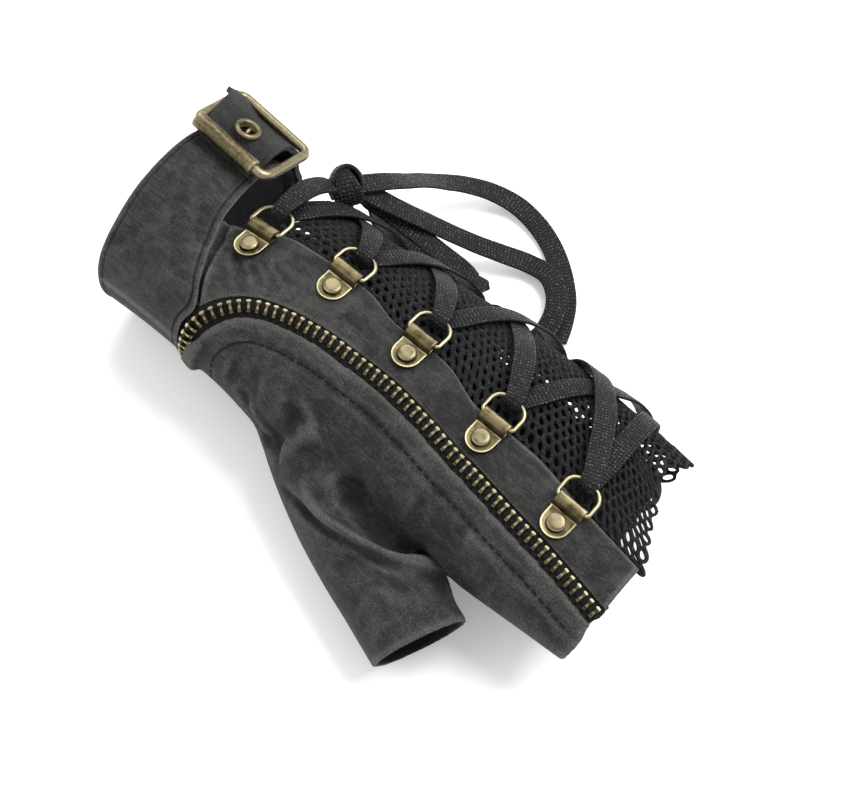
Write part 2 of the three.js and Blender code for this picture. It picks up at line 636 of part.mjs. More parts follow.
// Lace: one flat cord from the knot down through every ring and back up to the knot.
// It enters a ring over the wire and leaves under it, or the other way on the way back.
const TURN_RADIUS = RING.wire + GAP + LACE_THICK / 2 + 0.25;
const LIFT = { over: 2.7, under: 1.0 };
const knotPlace = frameAt(KNOT.x, KNOT.deg, KNOT.lift);

function makeLace() {
  const stops = [['near', 0], ['far', 1], ['near', 2], ['far', 3], ['near', 4], ['far', 4], ['near', 3],
    ['far', 2], ['near', 1], ['far', 0]].map(([row, i]) => rings[row][i]);
  const crossings = ['over', 'under', 'over', 'over', 'over', 'under', 'under', 'over', 'under'];
  const outward = 5;              // the stop from which the lace runs back to the knot
  const frames = [];
  const addFrame = (point, side, up, scale = 1) => frames.push({ origin: point, side, up, scale });

  const turnAt = (stop, downwards) => {
    const angles = [90, 135, 180, 225, 270];
    (downwards ? angles : angles.reverse()).forEach((angle) => {
      const away = stop.reach.clone().multiplyScalar(Math.cos(radians(angle)))
        .addScaledVector(stop.up, Math.sin(radians(angle)));
      const point = stop.limb.clone().addScaledVector(away, TURN_RADIUS);
      addFrame(point, stop.side.clone(), away.multiplyScalar(downwards ? 1 : -1), 0.86);
    });
  };
  const run = (from, to, lifts, steps, bow = [0, 0]) => {
    const soft = (t) => t * t * (3 - 2 * t);
    for (let k = 1; k < steps; k += 1) {
      const t = k / steps;
      const lift = t < 0.5 ? THREE.MathUtils.lerp(lifts[0], lifts[1], soft(2 * t))
        : THREE.MathUtils.lerp(lifts[1], lifts[2], soft(2 * t - 1));
      const sway = Math.sin(Math.PI * t);
      const place = mix([from.x, from.deg], [to.x, to.deg], t).map((value, c) => value + bow[c] * sway);
      const { origin, normal, along, around } = frameAt(...place, lift);
      const step = [to.x - from.x, (to.deg - from.deg) * DEG_MM];
      const direction = along.clone().multiplyScalar(step[0]).addScaledVector(around, step[1]).normalize();
      const side = direction.clone().cross(normal).normalize();
      addFrame(origin, side, normal);
    }
  };
  const high = RING_LIFT + TURN_RADIUS;
  const low = RING_LIFT - TURN_RADIUS;
  const knotNear = { x: KNOT.x - 2.5, deg: KNOT.deg - 13 };
  const knotFar = { x: KNOT.x - 1, deg: KNOT.deg + 15 };
  const startFrame = (place, to) => {
    const { origin, normal, along, around } = frameAt(place.x, place.deg, 4.4);
    const direction = along.clone().multiplyScalar(to.x - place.x)
      .addScaledVector(around, (to.deg - place.deg) * DEG_MM).normalize();
    addFrame(origin, direction.cross(normal).normalize(), normal, 0.9);
  };
  startFrame(knotNear, stops[0]);
  run(knotNear, stops[0], [4.4, 3.4, high], 5, [-1.5, 5]);
  stops.forEach((stop, i) => {
    turnAt(stop, i < outward);
    if (i === stops.length - 1) return;
    const ends = i + 1 < outward ? [low, high] : i + 1 === outward ? [low, low] : [high, low];
    const middle = i === 4 ? 1.6 : LIFT[crossings[i]];
    run(stop, stops[i + 1], [ends[0], middle, ends[1]], 8);
  });
  run(stops[stops.length - 1], knotFar, [high, 3.4, 4.4], 5);
  startFrame(knotFar, { x: KNOT.x + 1, deg: KNOT.deg });

  // The width direction keeps to one side of the cord, so that it never flips over
  frames.forEach((frame, i) => {
    if (i > 0 && frame.side.dot(frames[i - 1].side) < 0) {
      frame.side.negate();
    }
  });
  frames.forEach((frame, i) => {
    const before = frames[Math.max(i - 1, 0)].origin;
    const after = frames[Math.min(i + 1, frames.length - 1)].origin;
    const direction = after.clone().sub(before).normalize();
    frame.side.addScaledVector(direction, -frame.side.dot(direction)).normalize();
    frame.up = frame.side.clone().cross(direction).normalize();
  });
  addPiece('lace', sweep(frames, rectangle(LACE_WIDTH, LACE_THICK)), 'lace');
}

// Knot: a rounded body with one band over it
function makeKnot() {
  const { origin, normal, along, around } = knotPlace;
  const axis = around;
  const capRings = [[-1, 0.45], [-0.6, 0.88], [0, 1], [0.6, 0.88], [1, 0.45]].map(([share, size]) => (
    polygon(10, KNOT.radius * size, 0.5).map(([a, b]) => origin.clone()
      .addScaledVector(axis, share * KNOT.radius * 0.95)
      .addScaledVector(along, a * 1.08).addScaledVector(normal, b * 0.92))));
  const band = polygon(10, 1, 0.5).map(([a, b]) => {
    const away = along.clone().multiplyScalar(a).addScaledVector(normal, b);
    return { origin: origin.clone().addScaledVector(away, KNOT.radius), side: axis, up: away };
  });
  const body = toSolid(ringsGeometry(capRings)).add(toSolid(sweep(band, rectangle(4.2, 1.6), true)));
  addPiece('lace_knot', toGeometry(body), 'lace');
}

// Loose end or loop of the flat lace, swept along its route
function makeLooseLace(name, points) {
  const curve = new THREE.CatmullRomCurve3(points.map((row) => vector(...row)), false, 'centripetal');
  const steps = Math.round(curve.getLength() / (LACE_WIDTH * 1.35));
  const section = [[-0.5, -0.22], [-0.4, -0.5], [0.4, -0.5], [0.5, -0.22], [0.5, 0.22], [0.4, 0.5],
    [-0.4, 0.5], [-0.5, 0.22]].map(([a, b]) => [a * LACE_WIDTH, b * LACE_THICK]);
  const frames = Array.from({ length: steps + 1 }, (_, i) => {
    const origin = curve.getPointAt(i / steps);
    const direction = curve.getTangentAt(i / steps);
    const side = direction.clone().cross(vector(0, 0, 1)).normalize();
    return { origin, side, up: side.clone().cross(direction).normalize() };
  });
  addPiece(name, sweep(frames, section), 'lace');
}

// Buckle frame, its roller and prong, and the strap that arches up through it
const buckle = (() => {
  const origin = vector(14, 24.2, 48.2);
  const long = frameAt(13, 122).along.applyAxisAngle(vector(0, 0, 1), radians(BUCKLE_TURN));
  const up = vector(0, Math.sin(radians(BUCKLE_TILT)), Math.cos(radians(BUCKLE_TILT)))
    .addScaledVector(long, -long.y * Math.sin(radians(BUCKLE_TILT)) - long.z * Math.cos(radians(BUCKLE_TILT)))
    .normalize();
  const across = up.clone().cross(long).normalize();
  const at = (a, b, c) => origin.clone().addScaledVector(long, a).addScaledVector(across, b)
    .addScaledVector(up, c);
  return { origin, long, up, across, at };
})();

function makeBuckle() {
  const { long, up, across, at } = buckle;
  const route = [[1, 1, 0], [-1, 1, 90], [-1, -1, 180], [1, -1, 270]].flatMap(([a, b, start]) => (
    [0, 30, 60, 90].map((step) => {
      const turn = radians(start + step);
      const outward = long.clone().multiplyScalar(Math.cos(turn)).addScaledVector(across, Math.sin(turn));
      const centre = at(a * (BUCKLE.long / 2 - BUCKLE.corner), b * (BUCKLE.wide / 2 - BUCKLE.corner), 0);
      return { origin: centre.addScaledVector(outward, BUCKLE.corner), side: outward, up };
    })));
  addPiece('buckle_frame', sweep(route, polygon(5, BUCKLE.wire, 0.5), true), 'brass');
  const rollerRows = [-0.5, 0.5].map((share) => share * BUCKLE.rollerLong);
  const sleeveRings = (radius) => Array.from({ length: 12 }, (_, k) => rollerRows.map((a) => {
    const turn = 2 * Math.PI * k / 12;
    return at(a, -BUCKLE.wide / 2 + radius * Math.cos(turn), radius * Math.sin(turn));
  }));
  const outside = sleeveRings(BUCKLE.roller + 0.25);
  const inside = sleeveRings(BUCKLE.wire + 0.32);
  addPiece('buckle_roller', wallGeometry(outside, inside, true), 'brass');
  const prong = [[9.9, -2.35], [7.9, -4.2], [4.6, -4.0], [1.6, -3.0], [-0.6, -1.2], [-1.5, 0.6]];
  const prongFrames = prong.map(([b, c], i) => {
    const [b1, c1] = prong[Math.max(i - 1, 0)];
    const [b2, c2] = prong[Math.min(i + 1, prong.length - 1)];
    const run = across.clone().multiplyScalar(b2 - b1).addScaledVector(up, c2 - c1).normalize();
    return { origin: at(EYELET.long, b, c), side: long, up: long.clone().cross(run).normalize() };
  });
  addPiece('buckle_prong', sweep(prongFrames, polygon(6, 0.7)), 'brass');
}

function makeStrap() {
  const { across, long, at } = buckle;
  const onCuff = (deg) => {
    const { origin, along } = frameAt(13, deg, WALL / 2 + 0.6);
    return { origin, side: along };
  };
  const inFrame = (b, c) => ({ origin: at(-1, b, c), side: long });
  const profile = [...STRAP_ARCH.map(([b, c]) => inFrame(b, c)), ...[165, 177, 190].map(onCuff)];
  const frames = profile.map(({ origin, side }, i) => {
    const before = profile[Math.max(i - 1, 0)].origin;
    const after = profile[Math.min(i + 1, profile.length - 1)].origin;
    return { origin, side, up: side.clone().cross(after.clone().sub(before)).normalize() };
  });
  const through = (b, section) => toSolid(sweep([-9, 6].map((c) => (
    { origin: at(EYELET.long, b, c), side: long, up: across })), section));
  const strap = toSolid(sweep(frames, rectangle(STRAP_WIDTH, WALL)))
    .subtract(through(EYELET.across, polygon(12, EYELET.hole)))
    .subtract(through((SLOT.from + SLOT.to) / 2, rectangle(SLOT.width, SLOT.to - SLOT.from)));
  addPiece('cuff_strap', toGeometry(strap), 'leather');
  const { base, inner, neck, outer } = EYELET;
  const ring = [[inner, base - 1.7], [inner, base + 0.9], [outer - 0.6, base + 1.1], [outer, base + 0.5],
    [outer - 0.3, base], [neck, base], [neck, base - 1.7]];
  const rows = Array.from({ length: 14 }, (_, k) => {
    const turn = 2 * Math.PI * k / 14;
    return ring.map(([radius, high]) => at(EYELET.long, EYELET.across, high)
      .addScaledVector(long, radius * Math.cos(turn))
      .addScaledVector(across, radius * Math.sin(turn)));
  });
  const faces = [];
  rows.forEach((row, i) => row.forEach((_, j) => {
    const sides = row.length;
    const a = i * sides + j;
    const b = i * sides + (j + 1) % sides;
    const c = ((i + 1) % rows.length) * sides + (j + 1) % sides;
    const d = ((i + 1) % rows.length) * sides + j;
    faces.push([a, b, c], [a, c, d]);
  }));
  addPiece('strap_eyelet', closedGeometry(rows.flat(), faces), 'brass');
}

makeCuff();
makeSidePanel();
makeFarPanel();
makePalmAndThumb();
makeNet();
makeZipper();
makeFingerWebs();
makeLace();
makeKnot();
makeLooseLace('lace_tail_long', TAIL_LONG);
makeLooseLace('lace_tail_short', TAIL_SHORT);
makeLooseLace('lace_loop', LOOP);
makeBuckle();
makeStrap();

export default group;
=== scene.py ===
"""Fingerless laced glove: the finish of its leather, net, lace, zipper and brass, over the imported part."""
import json
import math
import random

import bpy
import numpy as np
from mathutils import Matrix, Vector
from mathutils.bvhtree import BVHTree
from mathutils.kdtree import KDTree

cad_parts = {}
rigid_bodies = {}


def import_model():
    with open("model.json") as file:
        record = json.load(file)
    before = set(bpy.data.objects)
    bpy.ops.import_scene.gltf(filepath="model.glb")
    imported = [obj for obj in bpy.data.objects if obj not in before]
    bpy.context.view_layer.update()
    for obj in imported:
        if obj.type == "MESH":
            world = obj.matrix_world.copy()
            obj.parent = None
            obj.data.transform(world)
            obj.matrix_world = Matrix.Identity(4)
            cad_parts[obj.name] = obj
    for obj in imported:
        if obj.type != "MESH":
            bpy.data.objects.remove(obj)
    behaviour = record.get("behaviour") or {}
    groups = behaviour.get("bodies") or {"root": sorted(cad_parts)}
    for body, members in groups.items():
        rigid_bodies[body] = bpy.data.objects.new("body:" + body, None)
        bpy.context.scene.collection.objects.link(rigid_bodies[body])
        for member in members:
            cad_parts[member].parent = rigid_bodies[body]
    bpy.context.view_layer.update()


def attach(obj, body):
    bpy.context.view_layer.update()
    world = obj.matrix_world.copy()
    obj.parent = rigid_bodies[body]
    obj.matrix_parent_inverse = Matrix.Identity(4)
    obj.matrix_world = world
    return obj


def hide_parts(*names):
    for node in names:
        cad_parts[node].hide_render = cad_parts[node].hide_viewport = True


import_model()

bl_info = {
    "name": "Laced fingerless glove",
    "version": (1, 0, 0),
    "blender": (4, 5, 0),
    "location": "View3D > Sidebar > Glove",
    "description": "Builds the finished surfaces of a laced fingerless glove round its packed solids",
    "category": "Object",
}

# Sizes in millimetres, in the hand frame: +X from the wrist to the fingers, +Z up
MM = 0.001
# Where the shared frame's origin lies in the hand frame
CENTRE = (86.9, -7.3, 0.0)
WALL = 1.6
GAP = 0.3
SEAM_GAP = 0.6
LACE_WIDTH = 6.2
LACE_THICK = 1.0
ZIP_PITCH = 2.5
TAPE = {"palm_edge": -4.3, "panel_edge": 3.4, "sunk": 0.95, "thick": 0.7, "cord_at": -0.7, "cord": 0.75,
        "lap": 0.16, "lap_shift": 2.4}
PLATE = {"radius": 4.2, "thick": 0.8, "square_to": 3.4, "rim": 0.75, "sunk": 0.24, "bar_at": 6.2,
         "bar_up": 1.6, "barrel": 0.98, "seat": 0.4}
CAP_PROFILE = [
    # radius, height over the plate
    [0, 0.98], [0.8, 0.98], [1.5, 0.97], [1.95, 0.93], [2.25, 0.82], [2.48, 0.62], [2.6, 0.36], [2.6, 0.1],
    [2.5, -0.1], [0, -0.12],
]
RING = {"half_width": 5.2, "depth": 7.0, "corner": 3.3, "heel": 0.9, "wire": 0.56}
RING_LIFT = 2.7
TURN_RADIUS = 0.75 + GAP + LACE_THICK / 2 + 0.25
BUCKLE = {"long": 25.6, "wide": 19.6, "corner": 2.6, "wire": 1.4, "roller": 2.35, "roller_long": 21.4}
BUCKLE_AT = (14.0, 24.2, 48.2)
BUCKLE_TILT = 25
BUCKLE_TURN = -6
STRAP_WIDTH = 20
STRAP_LAP = 3.1
STRAP_X = 13.0
STRAP_ON_CUFF = [165.0, 177.0, 190.0]
STRAP_ARCH = [[-9.9, -3.9], [-8.8, -3.0], [-7.2, -1.7], [-5.0, -0.2], [-2.8, 0.9], [-0.4, 1.4],
              [2.2, 1.3], [4.8, 0.5], [7.2, -1.0], [9.8, -2.7], [12.4, -5.2]]
EYELET = {"long": -0.8, "across": -2.8, "base": 2.45, "outer": 3.75, "inner": 2.3, "neck": 2.45,
          "hole": 2.5}
PRONG = [[9.9, -2.35], [7.9, -3.6], [4.6, -2.8], [1.6, -1.6], [-0.6, 0.2], [-2.1, 1.9]]
# Where the back of the hand lies under the cuff's level
DIP = {"start": 27, "end": 45, "depth": 6, "deg": 94, "spread": 26}
# Millimetres round the hand in one degree
DEG_MM = 0.58

# Sections of the hand form along X
SECTIONS = [
    # x, midY, midZ, thumbHalf, littleHalf, upHalf, downHalf, power
    [-6, 0.5, 27, 28.5, 28.5, 25.5, 28, 2.1],
    [22, 2.5, 25, 29.0, 29.0, 23.5, 26, 2.1],
    [45, 3.0, 23, 30.0, 30.0, 19.5, 24, 2.1],
    [70, 3.5, 21, 33.5, 32.5, 20.5, 22, 2.1],
    [95, 5.0, 20, 35.5, 33.5, 20.5, 21, 2.2],
    [120, 5.0, 21, 34.5, 34.0, 18.5, 18, 2.3],
    [145, 4.5, 22, 33.5, 33.5, 15.5, 14, 2.3],
    [178, 4.5, 20, 31.5, 31.5, 11.0, 9, 2.3],
]

# Edges and seams, as places [x, degrees]: 0 the thumb side, 90 the back of the hand, 270 the palm
RIM = [[4, 0], [4, 40], [3, 75], [2, 115], [2, 180], [3, 270], [4, 360]]
CUFF_SEAM = [[32.8, 0], [33.3, 20], [35, 36], [32, 53], [29, 70], [26, 88], [24, 114], [22, 150],
             [22, 185], [27, 225], [32, 290], [33, 360]]
ZIPPER = [[35.4, -15], [35.7, -7], [36, 2], [36.3, 18], [38, 34], [43, 53], [50, 64], [61, 71], [74, 74],
          [88, 74], [103, 72], [118, 68], [134, 64], [150, 60], [164, 55], [171, 52]]
NET_EDGE = [[26.6, 90], [31.5, 95.5], [36.5, 100.5], [44, 103.5], [54, 105], [68, 104], [80, 98],
            [97, 96], [112, 90], [132, 90], [150, 87], [171, 84]]
NET_FAR_EDGE = [[34, 211], [60, 211], [90, 212], [120, 213], [145, 214], [154, 214]]
NET_FINGER_EDGE = [[171, 84], [165, 98], [161, 112], [156.5, 123], [156.5, 138], [159, 152],
                   [160, 168], [157, 190], [154, 214]]
PALM_FAR_EDGE = [[34, -98], [60, -98], [90, -98], [120, -98], [156, -98]]
PALM_START = [[27.8, -98], [29.6, -60], [30.4, -38], [31.4, -27], [35.2, -20.5], [38.4, -14.5], [39.2, -9]]
PALM_FINGER_EDGE = [[156, -98], [162, -60], [167.5, -25], [170, 0], [171.5, 30], [171, 50]]
HEM_EDGE = -2.5
HEM_BAND = 7.0
HEM_STEP = 0.9
STITCH_FROM_HEM = 7.0
PALM_ACROSS = 95.0
PANEL_FROM = 35
PANEL_ACROSS = 26
PANEL_OFF_ZIPPER = 2.4
UNDERLAP = 3.4
UNDERLAP_SHARE = 0.03
STITCH = {"width": 0.75, "high": 0.7, "sink": 0.05, "first": 0.02, "last": 0.985}
NET = {"long": 137.0, "wide": 72.0, "half": 0.5, "start": 0.085, "torn": 0.35, "tuck": 1.7, "tuck_reach": 3.5,
       "stray": 2.2}

# Thumb sleeve: middle of each ring, its half width and half height
THUMB = [
    # x, y, z, halfWidth, halfHeight
    [56, -6, 16, 15.0, 12.0],
    [70, -13.5, 15.5, 16.5, 14.0],
    [84, -21.5, 14.5, 16.5, 14.5],
    [98, -29, 13.5, 16.0, 13.8],
    [112, -35.5, 12.6, 15.0, 12.9],
    [124, -40.5, 12.2, 14.0, 12.4],
    [137, -45.5, 12.0, 13.6, 12.3],
]
THUMB_LIP = 3.2
THUMB_PINCH = {"at": 75, "reach": 8.5, "depth": 2.2}

NEAR_PLATES = [[35.2, 85], [60.2, 93.5], [88.1, 89], [118.6, 81.5], [148, 74.4]]
FAR_PLATES = [[36, 225], [58, 224], [83, 224], [111, 226], [142, 229]]
WEBS = [
    # y, topX, bottomX, topZ, bottomZ
    [-14.0, 171.0, 161.8, 29.4, 12.8],
    [1.0, 170.0, 157.6, 30.6, 11.2],
    [24.0, 156.8, 155.4, 31.2, 12.6],
]
WEB_WIDTH = 2.4
WEB_THICK = 1.1

# The lace's stops at the rings in its order, how many of them lie on its way to the fingers, and how each
# stretch between two stops lies where it crosses another
STOPS = [("near", 0), ("far", 1), ("near", 2), ("far", 3), ("near", 4), ("far", 4), ("near", 3),
         ("far", 2), ("near", 1), ("far", 0)]
OUTWARD = 5
CROSSINGS = ["over", "under", "over", "over", "level", "under", "under", "over", "under"]
LACE_LIFT = {"over": 2.3, "level": 1.6, "under": 0.9}
KNOT_LIFT = 4.4
KNOT_LEAVING = 3.4

# Bow: the knot and the routes of its loose ends and loop
KNOT = {"x": 37.2, "deg": 157, "lift": 5.2, "right": 0.9, "up": 0.2, "wrap": 1.2}
KNOT_CORE = {"radius": 4.7, "half_high": 5.3, "back": 1.7, "up": 0.2}
KNOT_FRONT = [
    # right, up, towards the view, width
    [-0.6, 4.0, -2.6, 3.0], [-0.9, 5.2, -0.6, 2.6], [-0.9, 4.7, 1.6, 2.8], [-0.6, 2.8, 3.3, 4.4],
    [-0.1, 0.6, 4.0, 6.4], [0.4, -1.6, 3.9, 8.0], [0.9, -3.6, 2.6, 8.2], [1.3, -4.8, 0.4, 6.0],
    [1.2, -4.2, -2.2, 4.4],
]
KNOT_LOOP = [
    # right, up, towards the view, width
    [-3.2, -3.6, 1.0, 4.6], [-4.3, -0.8, 1.4, 5.0], [-3.9, 2.0, 1.4, 5.0], [-2.4, 4.7, 1.0, 4.8],
    [0.2, 5.7, 0.6, 4.6], [2.7, 4.4, 0.4, 4.6], [4.2, 1.6, 0.4, 4.8], [4.3, -1.2, 0.4, 5.0],
    [3.2, -3.6, 0.2, 4.6],
]
TAIL_LONG = [
    [40.7, 39.8, 34.1], [43.2, 45.4, 31.5], [45.0, 51.5, 26.8], [46.0, 58.0, 20.8], [47.6, 64.2, 14.8],
    [51.0, 70.8, 9.4], [56.4, 76.2, 5.0], [63.6, 78.9, 2.3], [71.0, 78.4, 1.3], [77.8, 76.2, 1.0],
    [84.0, 72.8, 1.0], [89.6, 68.6, 1.0], [94.4, 63.8, 1.0], [98.0, 58.0, 1.0], [100.4, 52.6, 1.0],
]
TAIL_SHORT = [
    [42.0, 39.1, 32.0], [46.6, 41.4, 29.4], [51.0, 44.6, 25.4], [55.4, 48.4, 20.6], [60.4, 52.6, 15.4],
    [66.0, 57.4, 9.8], [72.2, 62.2, 5.4], [79.0, 65.8, 3.2], [85.6, 66.6, 3.0], [91.2, 63.4, 3.0],
    [95.0, 58.0, 2.9], [96.6, 51.6, 2.4], [95.6, 45.6, 1.5],
]
LOOP = [
    [41.4, 39.2, 28.4], [45.4, 41.2, 25.6], [50.4, 42.8, 22.8], [56.0, 44.4, 19.4], [62.0, 46.0, 15.6],
    [67.6, 48.0, 11.4], [72.0, 49.6, 7.2], [73.6, 51.0, 3.4], [70.4, 51.4, 1.1], [63.6, 50.8, 1.0],
    [56.0, 49.6, 1.0], [49.0, 47.4, 3.2], [43.6, 44.8, 9.0], [40.2, 43.0, 16.4], [39.0, 41.4, 22.8],
]

# The photograph's view, in the hand frame and in pixels of its 857 by 794 frame
VIEW = {"azimuth": 42.0, "elevation": 60.0, "distance": 800.0, "target": (85.0, 0.0, 25.0),
        "focal": 3008.0, "axis": (388.0, 388.0), "wide": 857, "tall": 794, "sensor": 36.0}

# Folds of the leather that show from that view: pixels along each, its width and height in mm
BODY_FOLDS = [
    # pixels, width, height
    [[(301, 470), (307, 494), (322, 517), (343, 534), (368, 546), (392, 555), (414, 563), (432, 574),
      (446, 592), (458, 614)], 2.2, 3.3],
    [[(334, 470), (348, 490), (360, 508), (374, 525), (392, 539), (410, 549), (426, 559)], 3.8, -4.8],
    [[(278, 482), (300, 509), (325, 528), (353, 545), (385, 561), (412, 571)], 1.4, -2.0],
    [[(414, 553), (428, 562), (440, 571), (450, 581)], 2.0, -3.0],
    [[(330, 552), (356, 566), (392, 580), (430, 592)], 3.2, -0.9],
    [[(258, 434), (270, 446), (284, 452)], 2.6, -2.4],
    [[(274, 458), (298, 440), (326, 420)], 5.0, 1.6],
    [[(268, 446), (286, 428), (306, 406)], 3.6, -2.0],
    [[(246, 398), (258, 420), (271, 439)], 1.7, 1.3],
    [[(236, 384), (250, 412), (262, 434)], 2.2, -1.5],
    [[(226, 366), (240, 380), (262, 386)], 4.0, -1.0],
    [[(283, 398), (292, 420), (288, 440)], 2.4, -0.8],
    [[(410, 500), (440, 522), (470, 545)], 6.0, -0.8],
    [[(380, 470), (420, 505), (470, 540), (520, 580)], 4.5, 0.7],
    [[(356, 600), (372, 618), (384, 640)], 4.0, 0.6],
]
CUFF_FOLDS = [
    # pixels, width, height
    [[(160, 225), (172, 246), (180, 268)], 4.0, -0.7],
    [[(176, 218), (186, 240), (192, 262)], 3.4, 0.5],
    [[(140, 285), (160, 300), (184, 312)], 5.0, -0.6],
    [[(205, 200), (200, 226), (196, 250)], 3.0, -0.5],
    [[(186, 176), (181, 206), (170, 236)], 2.2, -0.5],
    [[(196, 178), (190, 206), (183, 230)], 2.0, 0.35],
    [[(120, 240), (126, 262), (136, 284)], 6.0, 0.5],
]
PANEL_FOLDS = [
    # pixels, width, height
    [[(249, 258), (256, 272), (259, 288)], 1.1, -0.55],
    [[(259, 256), (268, 270), (274, 286)], 1.1, -0.55],
    [[(272, 262), (283, 274), (291, 290)], 1.2, -0.5],
    [[(233, 250), (240, 268), (243, 286)], 1.6, -0.5],
    [[(226, 230), (219, 250), (214, 272)], 2.4, -0.8],
    [[(330, 322), (346, 336), (366, 346)], 1.2, -0.4],
    [[(338, 312), (356, 330), (380, 340)], 1.3, -0.4],
    [[(246, 262), (262, 276), (285, 290)], 3.0, -0.6],
    [[(300, 262), (330, 300), (352, 316)], 4.0, 0.5],
    [[(420, 400), (450, 430), (480, 462)], 4.0, -0.4],
    [[(560, 545), (585, 560), (600, 585)], 3.4, -0.5],
]


# Numbers and surfaces of the hand form

def unit(vectors):
    """Vectors made one long."""
    return vectors / np.maximum(np.linalg.norm(vectors, axis=-1, keepdims=True), 1e-12)


def soft(t):
    """A smooth step from 0 to 1."""
    t = np.clip(t, 0, 1)
    return t * t * (3 - 2 * t)


def hump(value, middle, reach):
    """A smooth hump, 1 high at its middle."""
    return np.exp(-((value - middle) / reach) ** 2)


def signed_power(value, power):
    """A power that keeps the sign."""
    return np.sign(value) * np.abs(value) ** power


def lengths_along(points):
    """The length from the first point of a line to each of them."""
    return np.concatenate([[0], np.cumsum(np.linalg.norm(np.diff(points, axis=0), axis=1))])


def between(places, marks, rows):
    """Rows that stand at marks, read at places between them."""
    return np.stack([np.interp(places, marks, column) for column in rows.T], -1)


def directions(points):
    """The direction of a line at each of its points."""
    return unit(np.gradient(points, axis=0))


def aligned(sides):
    """Each side turned over where it points against the one before it."""
    for i in range(1, len(sides)):
        if sides[i] @ sides[i - 1] < 0:
            sides[i] = -sides[i]
    return sides


def smooth_table(keys, rows):
    """Curve through a table that never overshoots its rows: gives every column at a value."""
    keys = np.asarray(keys, float)
    rows = np.asarray(rows, float)
    steps = np.diff(keys)
    slopes = np.diff(rows, axis=0) / steps[:, None]
    before, after = slopes[:-1], slopes[1:]
    total = np.where(before + after == 0, 1, before + after)
    inner = np.where(before * after <= 0, 0, 2 * before * after / total)
    tangents = np.concatenate([slopes[:1], inner, slopes[-1:]])

    def read(values):
        values = np.asarray(values, float)
        i = np.clip(np.searchsorted(keys, values) - 1, 0, len(steps) - 1)
        t = ((values - keys[i]) / steps[i])[..., None]
        step = steps[i][..., None]
        return (rows[i] + (rows[i + 1] - rows[i]) * t * t * (3 - 2 * t)
                + tangents[i] * t * (1 - t) ** 2 * step + tangents[i + 1] * t * t * (t - 1) * step)

    return read


section_at = smooth_table([row[0] for row in SECTIONS], [row[1:] for row in SECTIONS])


def dip_depth(x, deg):
    """How far the back of the hand lies under the cuff's level beside it."""
    t = (DIP["end"] - x) / (DIP["end"] - DIP["start"])
    return DIP["depth"] * soft(t) * hump(deg, DIP["deg"], DIP["spread"])


def skin(x, deg, lift=0.0, dipped=True):
    """Points of the glove at places, lifted off its outer face; the underside is flat on the ground."""
    x, deg, lift = np.broadcast_arrays(*(np.asarray(value, float) for value in (x, deg, lift)))
    mid_y, mid_z, thumb, little, high, low, power = np.moveaxis(section_at(x), -1, 0)
    side, up = np.cos(np.radians(deg)), np.sin(np.radians(deg))
    out = lift - (dip_depth(x, deg) if dipped else 0)
    y = mid_y - (out + np.where(side > 0, thumb, little)) * signed_power(side, 2 / power)
    z = mid_z + (out + np.where(up > 0, high, low)) * signed_power(up, 2 / power)
    return np.stack([x, y, np.maximum(z, -np.minimum(lift, 0))], -1)


def frame_at(x, deg, lift=0.0):
    """Origins and the directions along the hand, round it and out of it."""
    origin = skin(x, deg, lift)
    around = unit(skin(x, np.add(deg, 1), lift) - skin(x, np.subtract(deg, 1), lift))
    along = unit(skin(np.add(x, 1), deg, lift) - skin(np.subtract(x, 1), deg, lift))
    normal = unit(np.cross(around, along))
    middle = np.stack([origin[..., 0], *np.moveaxis(section_at(x), -1, 0)[:2]], -1)
    inward = np.sum(normal * (origin - middle), -1, keepdims=True) < 0
    return origin, along, around, np.where(inward, -normal, normal)


def path(places):
    """Reader of a path over the glove by the share of its length."""
    places = np.asarray(places, float)
    points = skin(places[:, 0], places[:, 1])
    lengths = lengths_along(points)
    at = smooth_table(lengths, places)

    def read(share):
        return at(np.asarray(share, float) * lengths[-1])

    read.total = lengths[-1]
    return read


def beside(base, offset):
    """The same path moved sideways by a length: plus is to its left, seen with x right, degrees up."""
    step = 0.002

    def read(share):
        share = np.asarray(share, float)
        here = base(share)
        run = base(np.minimum(share + step, 1)) - base(np.maximum(share - step, 0))
        x, deg = here[..., 0], here[..., 1]
        degree = np.linalg.norm(skin(x, deg + 1) - skin(x, deg - 1), axis=-1) / 2
        across = run[..., 1] * degree
        length = np.hypot(run[..., 0], across)
        return np.stack([x - across / length * offset, deg + run[..., 0] / length * offset / degree], -1)

    read.total = base.total
    return read


def part(base, start, end):
    """A stretch of a path, by shares of its length."""
    def read(share):
        return base(start + (end - start) * np.asarray(share, float))

    read.total = base.total * (end - start)
    return read


def share_at_degree(base, deg):
    """The share of a path's length at which it first reaches a degree."""
    shares = np.linspace(0, 1, 501)
    return shares[np.argmax(base(shares)[:, 1] >= deg)]


def edge_by_degree(places, gap=0.0):
    """Reader of an edge's x by the degree, moved along by a gap."""
    at = smooth_table([deg for _, deg in places], [[x] for x, _ in places])
    return lambda deg: at(deg)[..., 0] + gap


seam_over = edge_by_degree(CUFF_SEAM, SEAM_GAP)
zipper = path(ZIPPER)


